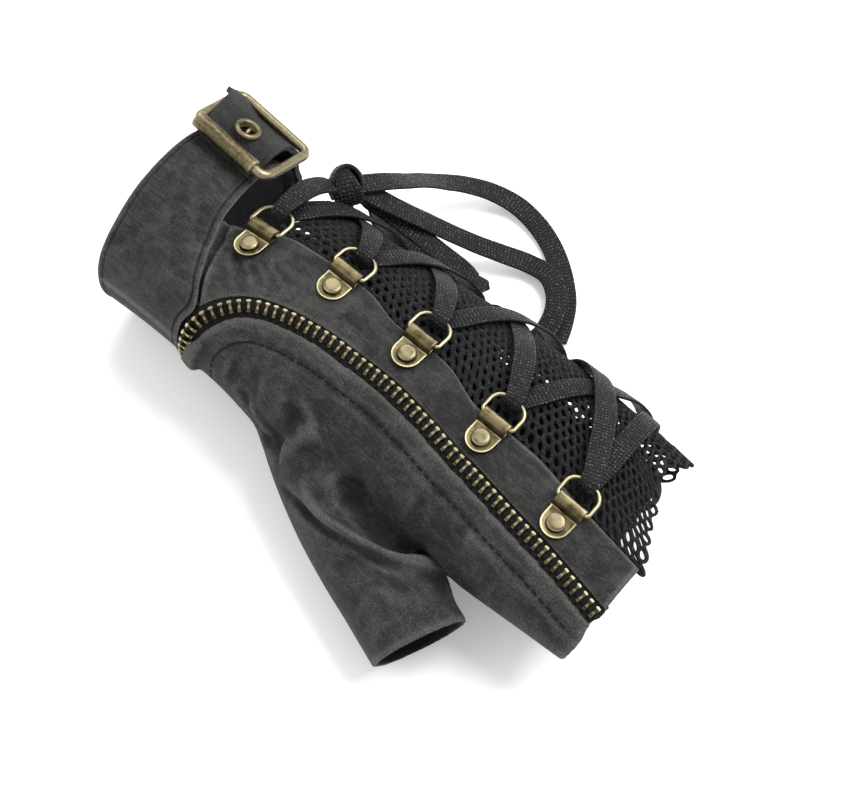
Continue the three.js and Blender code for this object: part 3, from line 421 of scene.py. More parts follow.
def lanes_place(lanes, spread, start=None, finish=None):
    """Reader of places by the share along the lanes and the share across the given spread of them."""
    def read(u, v):
        value = np.interp(v, np.linspace(0, 1, len(spread)), spread)

        def mixed(share):
            rows = [lane(share) for lane in lanes]
            found = rows[-1].copy()
            for k in range(len(lanes) - 1):
                here = (value >= k) & (value <= k + 1)
                t = (value - k)[..., None]
                found = np.where(here[..., None], rows[k] + (rows[k + 1] - rows[k]) * t, found)
            return found

        found = mixed(u)
        if start is not None:
            first = mixed(np.zeros_like(u))
            found[..., 0] += (start(first[..., 1]) - first[..., 0]) * (1 - u) ** 3
        if finish is not None:
            last = mixed(np.ones_like(u))
            found[..., 0] += (finish(last[..., 1]) - last[..., 0]) * u ** 3
        return found[..., 0], found[..., 1], value

    return read


def to_metres(points):
    """Points of the hand frame in the part's own frame."""
    return (np.asarray(points, float) - np.array(CENTRE)) * MM


def to_hand(points):
    """Points of the part's own frame in the hand frame."""
    return points / MM + np.array(CENTRE)


def outward(hand):
    """The way out of the hand's middle line, at points of the hand frame."""
    section = section_at(hand[:, 0])
    return np.stack([np.zeros(len(hand)), hand[:, 1] - section[:, 0], hand[:, 2] - section[:, 1]], 1)


# The view's rays, for folds placed by a pixel

def view_basis():
    """The view's directions to the right, up and back to the camera."""
    azimuth, elevation = math.radians(VIEW["azimuth"]), math.radians(VIEW["elevation"])
    right = np.array([math.cos(azimuth), math.sin(azimuth), 0.0])
    back = np.array([math.sin(azimuth) * math.cos(elevation), -math.cos(azimuth) * math.cos(elevation),
                     math.sin(elevation)])
    return right, np.cross(back, right), back


def eye_point():
    return to_metres(np.array(VIEW["target"]) + view_basis()[2] * VIEW["distance"])


def seen_on(tree, pixels):
    """Points of a surface under pixels of the view, in metres, and the way it faces there."""
    right, up, back = view_basis()
    eye = Vector(eye_point())
    found, facing = [], []
    for column, row in (pixels - np.array(VIEW["axis"])) / VIEW["focal"]:
        ray = column * right - row * up
        hit, normal, _, _ = tree.ray_cast(eye, Vector(unit(ray - back)))
        if hit is not None:
            found.append(np.array(hit))
            facing.append(np.array(normal) * (1 if np.array(normal) @ back > 0 else -1))
    return np.array(found), np.array(facing)


# Objects and modifiers

def only(*objects):
    """Selects these objects and nothing else, the first of them active."""
    bpy.ops.object.select_all(action="DESELECT")
    for item in objects:
        item.select_set(True)
    bpy.context.view_layer.objects.active = objects[0]


def points_of(item):
    found = np.empty(len(item.data.vertices) * 3)
    item.data.vertices.foreach_get("co", found)
    return found.reshape(-1, 3)


def normals_of(item):
    found = np.empty(len(item.data.vertices) * 3)
    item.data.vertices.foreach_get("normal", found)
    return found.reshape(-1, 3)


def set_points(item, points):
    item.data.vertices.foreach_set("co", np.asarray(points, float).ravel())
    item.data.update()


def tree_of(item):
    """Tree of a piece's faces, for rays."""
    mesh = item.data
    return BVHTree.FromPolygons([v.co for v in mesh.vertices], [p.vertices for p in mesh.polygons])


def nearest_among(points):
    """Finder of the nearest of some points: gives it, its index and how far away it is."""
    tree = KDTree(len(points))
    for index, point in enumerate(points):
        tree.insert(point, index)
    tree.balance()
    return tree.find


def named(item, name):
    item.name = item.data.name = name
    return item


def added(name, primitive, **settings):
    """A new primitive at the origin, with nothing else selected."""
    bpy.ops.object.select_all(action="DESELECT")
    primitive(location=(0, 0, 0), **settings)
    return named(bpy.context.object, name)


def linked(name, data):
    """A new object of some data, in the scene."""
    item = bpy.data.objects.new(name, data)
    bpy.context.scene.collection.objects.link(item)
    return item


def meshed(name, points, faces):
    """A new mesh object from points in metres and faces."""
    mesh = bpy.data.meshes.new(name)
    mesh.from_pydata(points.tolist(), [], faces)
    mesh.update()
    return linked(name, mesh)


def shaped_grid(name, across, along, shape, uv_size=None):
    """A grid primitive whose points are moved to shape(u, v), in millimetres of the hand frame."""
    item = added(name, bpy.ops.mesh.primitive_grid_add, x_subdivisions=along, y_subdivisions=across, size=1)
    flat = points_of(item)
    u, v = flat[:, 0] + 0.5, flat[:, 1] + 0.5
    set_points(item, to_metres(shape(np.clip(u, 0, 1), np.clip(v, 0, 1))))
    if uv_size:
        layer = item.data.uv_layers.active.data
        for loop in item.data.loops:
            layer[loop.index].uv = (u[loop.vertex_index] * uv_size[0], v[loop.vertex_index] * uv_size[1])
    return item


def edit(item, *steps):
    """Runs steps in edit mode with everything selected."""
    only(item)
    bpy.ops.object.mode_set(mode="EDIT")
    bpy.ops.mesh.select_all(action="SELECT")
    for step in steps:
        step()
    bpy.ops.object.mode_set(mode="OBJECT")


def merge_seam():
    bpy.ops.mesh.remove_doubles(threshold=1e-5)


def cap_ends():
    bpy.ops.mesh.fill_holes(sides=0)


def face_out():
    bpy.ops.mesh.select_all(action="SELECT")
    bpy.ops.mesh.normals_make_consistent(inside=False)


def flip_to(item, ways_out):
    """Turns an open sheet's faces so that they look along the way out at each point."""
    if np.sum(normals_of(item) * ways_out) < 0:
        edit(item, bpy.ops.mesh.flip_normals)


def modify(item, kind, **settings):
    """Applies one modifier to a piece."""
    only(item)
    modifier = item.modifiers.new(kind.lower(), kind)
    for name, value in settings.items():
        setattr(modifier, name, value)
    bpy.ops.object.modifier_apply(modifier=modifier.name)


def bevel(item, width, degrees=50, segments=2):
    modify(item, "BEVEL", width=width * MM, segments=segments, limit_method="ANGLE",
           angle_limit=math.radians(degrees))


def thicken(item, thick, even=True, offset=-1):
    modify(item, "SOLIDIFY", thickness=thick * MM, offset=offset, use_even_offset=even)


def cut(item, tool, keep_tool=False):
    """Takes a tool's form out of a piece."""
    modify(item, "BOOLEAN", object=tool, operation="DIFFERENCE", solver="MANIFOLD")
    if not keep_tool:
        bpy.data.objects.remove(tool)


def weights(item, name, values):
    """A vertex group of values; gives its name."""
    group = item.vertex_groups.new(name=name)
    for index, value in enumerate(values):
        if value > 0.001:
            group.add([index], float(value), "REPLACE")
    return name


def attribute(item, name, values):
    """Stores one number for each point of a piece."""
    found = item.data.attributes.get(name) or item.data.attributes.new(name, "FLOAT", "POINT")
    found.data.foreach_set("value", np.asarray(values, np.float32))


def smooth_faces(item, degrees=50):
    only(item)
    bpy.ops.object.shade_smooth_by_angle(angle=math.radians(degrees))


def joined(name, items):
    only(*items)
    bpy.ops.object.join()
    return named(bpy.context.object, name)


def copy_at(item, name, matrix):
    """A copy of a piece with a mesh of its own, put in place by a matrix."""
    mesh = item.data.copy()
    mesh.transform(matrix)
    return named(linked(name, mesh), name)


def axes_matrix(origin, *axes):
    """Matrix that puts a piece's own axes along three directions, at an origin in metres."""
    found = np.eye(4)
    found[:3] = np.stack([*axes, origin], 1)
    return Matrix(found.tolist())


def roughened(item, reach=3, share=1.0):
    """Stores how far each point stands out of its surroundings: high on ridges, low in valleys. The finishes
    read it for wear, painted highlights on ridges and painted shade in valleys.
    """
    mesh = item.data
    edges = np.empty(len(mesh.edges) * 2, np.int64)
    mesh.edges.foreach_get("vertices", edges)
    first, second = edges.reshape(-1, 2).T
    points, normals = points_of(item), normals_of(item)
    count = np.maximum(np.bincount(edges, minlength=len(points)), 1)

    def spread(values):
        total = np.zeros_like(values)
        np.add.at(total, first, values[second])
        np.add.at(total, second, values[first])
        return total / (count[:, None] if values.ndim > 1 else count)

    around = points
    for _ in range(reach):
        around = spread(around)
    height = np.sum((points - around) * normals, axis=1) / MM
    for _ in range(2):
        height = 0.5 * height + 0.5 * spread(height)
    scale = max(np.percentile(np.abs(height), 92), 1e-6)
    attribute(item, "wear_and_painted_light", np.clip(0.5 + 0.5 * share * height / scale, 0, 1))


def press_folds(item, folds):
    """Raises and sinks a wall along lines seen from the photograph's view."""
    tree = tree_of(item)
    points = points_of(item)
    moved = points.copy()
    for pixels, width, height in folds:
        pixels = np.array(pixels, float)
        dense = np.concatenate([np.linspace(a, b, 14) for a, b in zip(pixels, pixels[1:])])
        line, facing = seen_on(tree, dense)
        if len(line) < 2:
            continue
        for _ in range(30):
            for rows in (facing, line):
                rows[1:-1] = (rows[:-2] + rows[1:-1] + rows[2:]) / 3
        facing = unit(facing)
        nearest = nearest_among(line)
        reach = 2.6 * width * MM
        close = np.all((points > line.min(0) - reach) & (points < line.max(0) + reach), axis=1)
        ends = np.linspace(0, 1, len(line))
        share = soft(ends / 0.22) * soft((1 - ends) / 0.22)
        for index in np.nonzero(close)[0]:
            _, at, away = nearest(points[index])
            if away < reach:
                fall = math.exp(-((away / MM / width) ** 2))
                moved[index] += facing[at] * (height * MM * share[at] * fall)
    moved[:, 2] = np.maximum(moved[:, 2], 0)
    set_points(item, moved)


def looking_in(item, outwards):
    """1 where a wall's face looks into the hollow, against the given ways out."""
    return (np.sum(normals_of(item) * outwards, axis=1) < -0.15).astype(float)


# Materials

class Value:
    """A node's output that takes part in plain arithmetic."""

    def __init__(self, finish, socket):
        self.finish = finish
        self.socket = socket

    def math(self, operation, *others):
        return self.finish.node("Math", {"operation": operation}, dict(enumerate((self, *others))))

    def __add__(self, other):
        return self.math("ADD", other)

    __radd__ = __add__

    def __sub__(self, other):
        return self.math("SUBTRACT", other)

    def __rsub__(self, other):
        return self.finish.node("Math", {"operation": "SUBTRACT"}, {0: other, 1: self})

    def __mul__(self, other):
        return self.math("MULTIPLY", other)

    __rmul__ = __mul__

    def __truediv__(self, other):
        return self.math("DIVIDE", other)

    def clamp(self):
        return self.finish.node("Clamp", {}, {0: self})


class Finish:
    """A material under construction."""

    def __init__(self, name):
        self.material = bpy.data.materials.new(name)
        self.material.use_nodes = True
        self.tree = self.material.node_tree
        self.shader = self.tree.nodes["Principled BSDF"]

    def node(self, kind, settings, sockets, output=0):
        """A shader node of a kind, its settings set first, then the values or links of its sockets."""
        made = self.tree.nodes.new("ShaderNode" + kind)
        for name, value in settings.items():
            setattr(made, name, value)
        for name, value in sockets.items():
            self.feed(made.inputs[name], value)
        return Value(self, made.outputs[output])

    def feed(self, socket, value):
        if isinstance(value, Value):
            self.tree.links.new(value.socket, socket)
        elif socket.type == "RGBA" and hasattr(value, "__len__"):
            socket.default_value = (*value[:3], 1)
        else:
            socket.default_value = value

    def set(self, **sockets):
        for name, value in sockets.items():
            self.feed(self.shader.inputs[name.replace("_", " ").title().replace("Ior", "IOR")], value)

    def bump(self, height, distance, strength=1.0):
        """Bump from a height of 0 to 1, as deep as a distance in millimetres."""
        self.set(normal=self.node("Bump", {}, {"Height": height, "Distance": distance * MM,
                                               "Strength": strength}))

    def objects(self, stretch=(1, 1, 1), turn=(0, 0, 0)):
        """Object coordinates in millimetres, stretched and turned."""
        place = self.node("TexCoord", {}, {}, "Object")
        return self.node("Mapping", {}, {"Vector": place, "Scale": [s / MM for s in stretch],
                                         "Rotation": [math.radians(t) for t in turn]})

    def flat(self):
        """The piece's own flat coordinates, in millimetres along it."""
        return self.node("UVMap", {"uv_map": "UVMap"}, {})

    def noise(self, place, size, detail=4.0, roughness=0.55, distortion=0.0):
        return self.node("TexNoise", {}, {"Vector": place, "Scale": 1 / size, "Detail": detail,
                                          "Roughness": roughness, "Distortion": distortion})

    def stretched(self, value, low, high):
        """A value's range from low to high drawn out to 0 to 1."""
        return self.node("MapRange", {"interpolation_type": "SMOOTHSTEP"}, {0: value, 1: low, 2: high})

    def mix(self, share, first, second):
        return self.node("Mix", {"data_type": "RGBA"}, {0: share, 6: first, 7: second}, 2)

    def attribute(self, name):
        return self.node("Attribute", {"attribute_name": name}, {}, "Fac")


def shade(level, tint=(1.0, 1.0, 1.0)):
    """A grey, or a tint, at a level."""
    return tuple(level * t for t in tint)


def leather_finish(name, colours, speckle, level=1.0):
    """Brushed dark faux leather: rubbed ridges with a painted highlight, painted shade in valleys and
    creases, cloudy patches, short scratches and a fine speckle.
    """
    finish = Finish(name)
    tones = (colours.leather_dark, colours.leather_light, colours.leather_rub_and_highlight)
    dark_tone, light_tone, rub_highlight_tone = (shade(level, tone) for tone in tones)
    plain = finish.objects()
    streaks = finish.objects((0.35, 1.6, 1.0), (0, 0, 35))
    broad = finish.stretched(finish.noise(plain, 26.0, 3.0, 0.6, 0.6), 0.4, 0.6)
    cloud = finish.stretched(finish.noise(plain, 9.0, 5.0, 0.68, 1.4), 0.4, 0.6)
    patch = finish.noise(streaks, 3.2, 6.0, 0.7, 0.5)
    mark = finish.stretched(patch, 0.47, 0.6)
    brushed = finish.stretched(finish.noise(streaks, 0.9, 4.0, 0.6), 0.4, 0.62)
    nap = finish.objects((0.75, 1.25, 1.0), (0, 0, 35))
    grain = finish.stretched(finish.noise(nap, 0.34, 3.0, 0.7), 0.4, 0.62)
    lines = finish.objects((0.12, 2.2, 1.0), (0, 0, 48))
    scratch = finish.stretched(finish.noise(lines, 1.4, 4.0, 0.6), 0.58, 0.66)
    wrinkle = finish.noise(finish.objects((1.3, 0.5, 1.0), (0, 0, 20)), 4.5, 5.0, 0.6, 1.6)
    bent = finish.noise(finish.objects((1.0, 0.45, 0.6), (0, 0, 25)), 3.6, 1.0, 0.5, 0.8) - 0.5
    crease = (1 - finish.stretched(bent.math("ABSOLUTE"), 0.0, 0.02)) * finish.stretched(
        finish.noise(plain, 8.0, 2.0), 0.5, 0.66)
    wear_and_painted_light = finish.attribute("wear_and_painted_light")
    rub_and_highlight = finish.stretched(wear_and_painted_light, 0.45, 0.95)
    # Valleys of the relief, darkened below with painted shade.
    deep = finish.stretched(wear_and_painted_light, 0.5, 0.08)
    light = (broad * 0.2 + cloud * 0.24 + mark * 0.2 + brushed * 0.18 + grain * (cloud * 0.5 + 0.6) * speckle
             + scratch * 0.18 - (0.08 + speckle * 0.4)).clamp()
    base = finish.mix(light, dark_tone, light_tone)
    # Ridges lightened towards the rub colour, for worn leather and a painted highlight.
    rubbed_and_highlit = finish.mix((rub_and_highlight * (patch * 0.6 + grain * 0.8 + 0.05) * 0.7).clamp(), base, rub_highlight_tone)
    # Painted shade: valleys and thin crease lines darkened towards near black.
    shaded = finish.mix((deep * 0.5 + crease * 0.3).clamp(), rubbed_and_highlit, shade(0.005))
    lining = finish.mix(finish.noise(plain, 0.5), shade(0.004), shade(0.014))
    finish.set(base_color=finish.mix(finish.attribute("inside"), shaded, lining),
               roughness=0.6 + patch * 0.22 - rub_and_highlight * 0.08, specular_ior_level=0.28)
    finish.bump(grain * (speckle * 0.45) + brushed * 0.1 + wrinkle * 1.7 - crease * 0.5, 0.6, 0.8)
    return finish.material


def brass_finish(name, colours, brushed=0.0, bright_share=1.0):
    """Antique brass: pale worn edges with a painted highlight, brown patina with painted shade in the
    hollows, faint cloudy tarnish.
    """
    finish = Finish(name)
    plain = finish.objects()
    cloud = finish.stretched(finish.noise(plain, 2.6 - brushed * 2.8, 5.0, 0.62), 0.36, 0.62)
    speck = finish.noise(plain, 0.35, 3.0, 0.6)
    lines = finish.noise(finish.objects((0.25, 3.0, 3.0), (0, 0, 20)), 0.6) * brushed
    wear_and_painted_light = finish.attribute("wear_and_painted_light")
    # Edges lightened for worn brass and a painted highlight; hollows darkened for brown patina and painted
    # shade.
    bright = finish.stretched(wear_and_painted_light, 0.5, 1.0)
    hollow = finish.stretched(wear_and_painted_light, 0.45, 0.05)
    base = finish.mix((cloud * (0.85 - brushed * 0.3) + speck * 0.5 - lines * 0.5 - 0.12).clamp(),
                      colours.brass_dark, colours.brass)
    edged = finish.mix((bright * 0.85 * bright_share).clamp(), base, colours.brass_edge_wear_and_highlight)
    finish.set(base_color=finish.mix((hollow * 0.85).clamp(), edged, colours.brass_hollow_patina_and_shade),
               metallic=1.0, roughness=0.34 + cloud * 0.12 + hollow * 0.25)
    finish.bump(speck * 0.5 + lines, 0.02, 0.5)
    return finish.material


def lace_finish(name, colours):
    """Waxed flat braid: rows of slanting stitches, in chevrons over the width, with painted shade in the
    hollows between threads and painted glints on them.
    """
    finish = Finish(name)
    place = finish.flat()
    along, across = (finish.node("SeparateXYZ", {}, {0: place}, axis) for axis in ("X", "Y"))
    column = (across * 7.0).math("PINGPONG", 1.0)
    slant = ((along / 1.05 + column * 0.5) * math.tau).math("SINE")
    ridge = (column * math.pi).math("SINE")
    wobble = finish.noise(finish.objects(), 0.8, 2.0)
    thread = finish.stretched((slant * 0.5 + 0.5) * (ridge * 0.75 + 0.25), 0.15, 0.75)
    cloud = finish.noise(finish.objects(), 7.0, 4.0)
    painted_glint = finish.stretched(finish.noise(finish.objects(), 0.7, 3.0), 0.52, 0.62)
    # Raised threads lighter than the hollows between them, which take painted shade.
    base = finish.mix((thread * 0.9 + cloud * 0.3 - 0.25).clamp(), colours.lace_hollow_shade, colours.lace)
    # Painted glints on the raised threads.
    finish.set(base_color=finish.mix((painted_glint * thread * 0.6).clamp(), base, shade(0.12)),
               roughness=0.72 - thread * 0.26 - painted_glint * 0.16, specular_ior_level=0.26)
    finish.bump(thread + wobble * 0.25, 0.3, 1.0)
    return finish.material


def yarn_finish(name, level):
    """Black knitted yarn with its twist, and painted glints of a few shiny fibres."""
    finish = Finish(name)
    plain = finish.objects()
    twist = finish.node("TexWave", {"bands_direction": "DIAGONAL"},
                        {"Vector": plain, "Scale": 0.55, "Distortion": 3.0, "Detail": 2.0})
    fuzz = finish.stretched(finish.noise(plain, 0.45, 4.0, 0.65), 0.4, 0.62)
    glint = finish.stretched(finish.noise(plain, 0.6, 3.0), 0.55, 0.66)
    base = finish.mix((fuzz * 0.7 + twist * 0.4).clamp(), shade(level * 0.3), shade(level * 2.2))
    # Painted glints: a few spots mixed towards a pale grey.
    finish.set(base_color=finish.mix(glint * 0.5, base, shade(level * 12)), roughness=0.8 - glint * 0.35,
               specular_ior_level=0.3)
    finish.bump(twist * 0.5 + fuzz * 0.8, 0.22, 1.0)
    return finish.material


def tape_finish(name, level):
    """Black twill tape."""
    finish = Finish(name)
    twill = finish.node("TexWave", {"bands_direction": "DIAGONAL"},
                        {"Vector": finish.flat(), "Scale": 0.5, "Distortion": 0.6, "Detail": 1.0})
    fuzz = finish.noise(finish.objects(), 0.4, 3.0)
    finish.set(base_color=finish.mix(twill * 0.6 + fuzz * 0.4, shade(level * 0.4), shade(level * 1.8)),
               roughness=0.9, specular_ior_level=0.25)
    finish.bump(twill * 0.8 + fuzz * 0.3, 0.15, 0.9)
    return finish.material


FINISHES = {}


def finish_of(name):
    """A finish by its name, made once, when a piece first asks for it."""
    if name not in FINISHES:
        colours = bpy.context.scene.glove_colours
        makers = {
            "leather": lambda: leather_finish("leather", colours, 0.32),
            "strap_leather": lambda: leather_finish("strap_leather", colours, 0.32, 0.66),
            "suede": lambda: leather_finish("brushed_leather", colours, 0.62),
            "brass": lambda: brass_finish("brass", colours),
            "roller": lambda: brass_finish("brushed_brass", colours, 0.6, 0.45),
            "teeth": lambda: brass_finish("teeth_brass", colours),
            "lace": lambda: lace_finish("lace_braid", colours),
            "net": lambda: yarn_finish("net_yarn", 0.0055),
            "thread": lambda: yarn_finish("stitch_thread", 0.0012),
            "tape": lambda: tape_finish("zipper_twill", 0.007),
        }
        FINISHES[name] = makers[name]()
    return FINISHES[name]


def dress(item, finish, slot, *nodes):
    """Gives a finished piece its material, its body and the CAD nodes that it stands for."""
    item.data.materials.clear()
    item.data.materials.append(finish_of(finish))
    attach(item, "root")
    if nodes:
        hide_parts(*nodes)


# Shapes that several pieces share

def swept(name, centres, sides, ups, section, loop=False, scale=None, flat_uv=False):
    """A bar along centres in millimetres, with a closed section of [side, up] corners."""
    count, corners = len(centres), len(section)
    scale = np.ones(count) if scale is None else scale
    along = count if loop else count - 1

    def shape(u, v):
        i = np.rint(u * along).astype(int) % count
        j = np.rint(v * corners).astype(int) % corners
        return centres[i] + sides[i] * (section[j, 0] * scale[i])[:, None] + ups[i] * section[j, 1][:, None]

    item = shaped_grid(name, corners, along, shape)
    if flat_uv:
        lengths = lengths_along(centres)
        wide = np.abs(section[:, 0]).max() * 2
        for corner in item.data.uv_layers.active.data:
            i = min(int(round(corner.uv[0] * along)), count - 1)
            j = int(round(corner.uv[1] * corners)) % corners
            corner.uv = (lengths[i], section[j, 0] / wide + 0.5)
    edit(item, merge_seam, *([] if loop else [cap_ends]), face_out)
    return item


def closed_bar(name, centres, up, section):
    """A bar along a closed line, with worn brass ridges that also carry a painted highlight."""
    run = unit(np.roll(centres, -1, 0) - np.roll(centres, 1, 0))
    ups = np.tile(up, (len(centres), 1))
    item = swept(name, centres, unit(np.cross(run, ups)), ups, section, loop=True)
    roughened(item, reach=2)
    smooth_faces(item)
    return item


def lathed(name, profile, segments):
    """A turned piece from rows of radius and height in millimetres, about its own Z axis."""
    profile = np.asarray(profile, float)
    count = len(profile)

    def shape(u, v):
        turn = v * math.tau
        radius, height = profile[np.rint(u * (count - 1)).astype(int)].T
        return np.stack([radius * np.cos(turn), radius * np.sin(turn), height], -1) + np.array(CENTRE)

    item = shaped_grid(name, segments, count - 1, shape)
    edit(item, merge_seam, face_out)
    return item


def circle(sides, radius):
    turns = np.arange(sides) * math.tau / sides
    return np.stack([radius * np.cos(turns), radius * np.sin(turns)], -1)


def quarter_turns(quarters, step):
    """Points round quarter turns, each of a middle, a radius and the degrees at which it starts."""
    points = []
    for middle_a, middle_b, radius, start in quarters:
        for degrees in range(start, start + 91, step):
            turn = math.radians(degrees)
            points.append([middle_a + radius * math.cos(turn), middle_b + radius * math.sin(turn)])
    return np.array(points)


def flat_section(width, thick, sides=14, power=0.42):
    """A flat section with round edges."""
    turns = (np.arange(sides) + 0.5) * math.tau / sides
    return np.stack([signed_power(np.cos(turns), power) * width / 2,
                     signed_power(np.sin(turns), power * 1.6) * thick / 2], -1)


def curve_through(points):
    """Centripetal curve through points, in short steps."""
    points = np.asarray(points, float)
    padded = np.concatenate([[2 * points[0] - points[1]], points, [2 * points[-1] - points[-2]]])
    found = []
    for p0, p1, p2, p3 in zip(padded, padded[1:], padded[2:], padded[3:]):
        t1 = max(np.linalg.norm(p1 - p0), 1e-6) ** 0.5
        t2 = t1 + max(np.linalg.norm(p2 - p1), 1e-6) ** 0.5
        t3 = t2 + max(np.linalg.norm(p3 - p2), 1e-6) ** 0.5
        t = np.linspace(t1, t2, 24, endpoint=False)[:, None]
        a1 = (t1 - t) / t1 * p0 + t / t1 * p1
        a2 = (t2 - t) / (t2 - t1) * p1 + (t - t1) / (t2 - t1) * p2
        a3 = (t3 - t) / (t3 - t2) * p2 + (t - t2) / (t3 - t2) * p3
        b1 = (t2 - t) / t2 * a1 + t / t2 * a2
        b2 = (t3 - t) / (t3 - t1) * a2 + (t - t1) / (t3 - t1) * a3
        found.append((t2 - t) / (t2 - t1) * b1 + (t - t1) / (t2 - t1) * b2)
    return np.concatenate([*found, points[-1:]])


def smooth_line(points, step):
    """Points of the curve through points, at about even steps in millimetres."""
    dense = curve_through(points)
    lengths = lengths_along(dense)
    count = max(int(round(lengths[-1] / step)), 2)
    return between(np.linspace(0, lengths[-1], count + 1), lengths, dense)


def scattered(name, template, matrices):
    """One mesh of many copies of a template, each placed by its matrix."""
    points = points_of(template)
    faces = [tuple(p.vertices) for p in template.data.polygons]
    all_points, all_faces = [], []
    for matrix in matrices:
        turn = np.array(matrix)
        base = len(all_points) * len(points)
        all_points.append(points @ turn[:3, :3].T + turn[:3, 3])
        all_faces.extend(tuple(base + i for i in face) for face in faces)
    bpy.data.objects.remove(template)
    return meshed(name, np.concatenate(all_points), all_faces)


def leather_wall(item, folds=()):
    """Gives a sheet its thickness, inner side, folds and rounded edges."""
    flip_to(item, outward(to_hand(points_of(item))))
    thicken(item, WALL)
    attribute(item, "inside", looking_in(item, unit(outward(to_hand(points_of(item))))))
    if folds:
        press_folds(item, folds)
    roughened(item)
    bevel(item, 0.45)
    smooth_faces(item, 60)


# Stage and view

def make_camera():
    """The camera at the photograph's view."""
    data = bpy.data.cameras.new("view")
    data.sensor_width = VIEW["sensor"]
    data.lens = VIEW["focal"] * VIEW["sensor"] / VIEW["wide"]
    data.shift_x = (VIEW["wide"] / 2 - VIEW["axis"][0]) / VIEW["wide"]
    data.shift_y = (VIEW["axis"][1] - VIEW["tall"] / 2) / VIEW["wide"]
    data.clip_start = 0.05
    item = linked("view", data)
    item.matrix_world = axes_matrix(eye_point(), *view_basis())
    bpy.context.scene.camera = item


def make_light(name, towards, distance, size, power):
    """A round soft light that looks at the glove from a direction, in metres and watts."""
    direction = Vector(unit(towards))
    data = bpy.data.lights.new(name, "AREA")
    data.shape = "DISK"
    data.size = size
    data.energy = power
    item = linked(name, data)
    item.location = Vector(to_metres((88, 0, 20))) + direction * distance
    item.rotation_euler = direction.to_track_quat("Z", "Y").to_euler()


def make_stage():
    """Pale floor, three soft lights and an even white surround."""
    floor = added("floor", bpy.ops.mesh.primitive_grid_add, x_subdivisions=2, y_subdivisions=2, size=6)
    floor.data.transform(Matrix.Translation((0, 0, -0.0003)))
    finish = Finish("pale_floor")
    finish.set(base_color=shade(0.93), roughness=0.9, specular_ior_level=0.1, emission_color=shade(1.0),
               emission_strength=0.22)
    floor.data.materials.append(finish.material)
    right, up, back = view_basis()
    make_light("key", right * 0.7 + up * 0.75 + back * 0.85, 1.3, 0.8, 17)
    make_light("fill", -right * 0.9 + up * 0.35 + back * 0.8, 1.5, 1.2, 5)
    make_light("rim", up * 1.0 + back * 0.25, 1.2, 0.5, 5)
    world = bpy.data.worlds.new("studio")
    bpy.context.scene.world = world
    world.use_nodes = True
    light = world.node_tree.nodes["Background"].inputs
    light["Color"].default_value = (1, 1, 1, 1)
    light["Strength"].default_value = 0.7
    bpy.context.scene.view_settings.view_transform = "Standard"


# Leather

def cuff_relief(from_rim, from_seam):
    """The cuff's rolled rim and its turned seam, each with the groove beside it."""
    return (0.2 * hump(from_rim, 0.5, 0.6) - 0.35 * hump(from_rim, 1.5, 0.25)
            + 0.45 * hump(from_seam, 0.8, 0.8) - 0.55 * hump(from_seam, 2.2, 0.3))


def make_cuff(sizes):
    rim, seam = path(RIM), path(CUFF_SEAM)

    def shape(u, v):
        first, last = rim(v), seam(v)
        x, deg = (first + (last - first) * u[:, None]).T
        wide = np.linalg.norm(skin(*last.T) - skin(*first.T), axis=1)
        return skin(x, deg, cuff_relief(u * wide, (1 - u) * wide), dipped=False)

    item = shaped_grid("leather_cuff", 250, 110, shape)
    edit(item, merge_seam)
    leather_wall(item, CUFF_FOLDS)
    dress(item, "leather", "leather", "cuff")


def tucked(x, deg):
    """Depth in millimetres by which the leather sinks to pass under the cuff's edge."""
    return (WALL + 0.1) * soft((seam_over(deg) + 0.5 - x) / 1.6)


def under_cuff(place):
    """The same places, begun by a strip that passes under the cuff."""
    def read(u, v):
        x, deg, value = place(np.clip((u - UNDERLAP_SHARE) / (1 - UNDERLAP_SHARE), 0, 1), v)
        return x - UNDERLAP * np.clip(1 - u / UNDERLAP_SHARE, 0, 1), deg, value

    return read


def turned_edge(distance, depth, reach):
    """The low turned edge of a panel."""
    return -depth * np.exp(-distance / reach)


def make_side_panel(sizes):
    zip_side = beside(part(zipper, share_at_degree(zipper, PANEL_FROM), 1), PANEL_OFF_ZIPPER)
    place = under_cuff(lanes_place([zip_side, path(NET_EDGE)], [0, 1], start=seam_over))

    def shape(u, v):
        x, deg, _ = place(u, v)
        turned = turned_edge(v * PANEL_ACROSS, 0.5, 0.8) + turned_edge((1 - v) * PANEL_ACROSS, 0.35, 0.6)
        return skin(x, deg, turned - tucked(x, deg))

    item = shaped_grid("leather_side_panel", 48, 200, shape)
    leather_wall(item, PANEL_FOLDS)
    dress(item, "leather", "leather", "side_panel")


def make_far_panel(sizes):
    """The panel under the second row of plates, lapped under the palm's edge and the cuff."""
    edge = path([[x, deg + 360] for x, deg in PALM_FAR_EDGE])
    lanes = [*(beside(edge, offset) for offset in (2.4, -0.1, -0.8)), beside(path(NET_FAR_EDGE), SEAM_GAP)]
    spread = [*np.linspace(0, 1, 4)[:-1], *np.linspace(1, 2, 4)[:-1], *np.linspace(2, 3, 33)]
    place = under_cuff(lanes_place(lanes, spread, start=seam_over))

    def shape(u, v):
        x, deg, value = place(u, v)
        under = (WALL + 0.1) * np.clip(2 - value, 0, 1)
        return skin(x, deg, turned_edge((1 - v) * PANEL_ACROSS, 0.4, 0.6) - np.maximum(tucked(x, deg), under))

    item = shaped_grid("leather_far_panel", len(spread) - 1, 200, shape)
    leather_wall(item)
    dress(item, "leather", "leather", "far_panel")


THUMB_KEYS = lengths_along(np.array(THUMB)[:, :3])
thumb_at = smooth_table(THUMB_KEYS, THUMB)


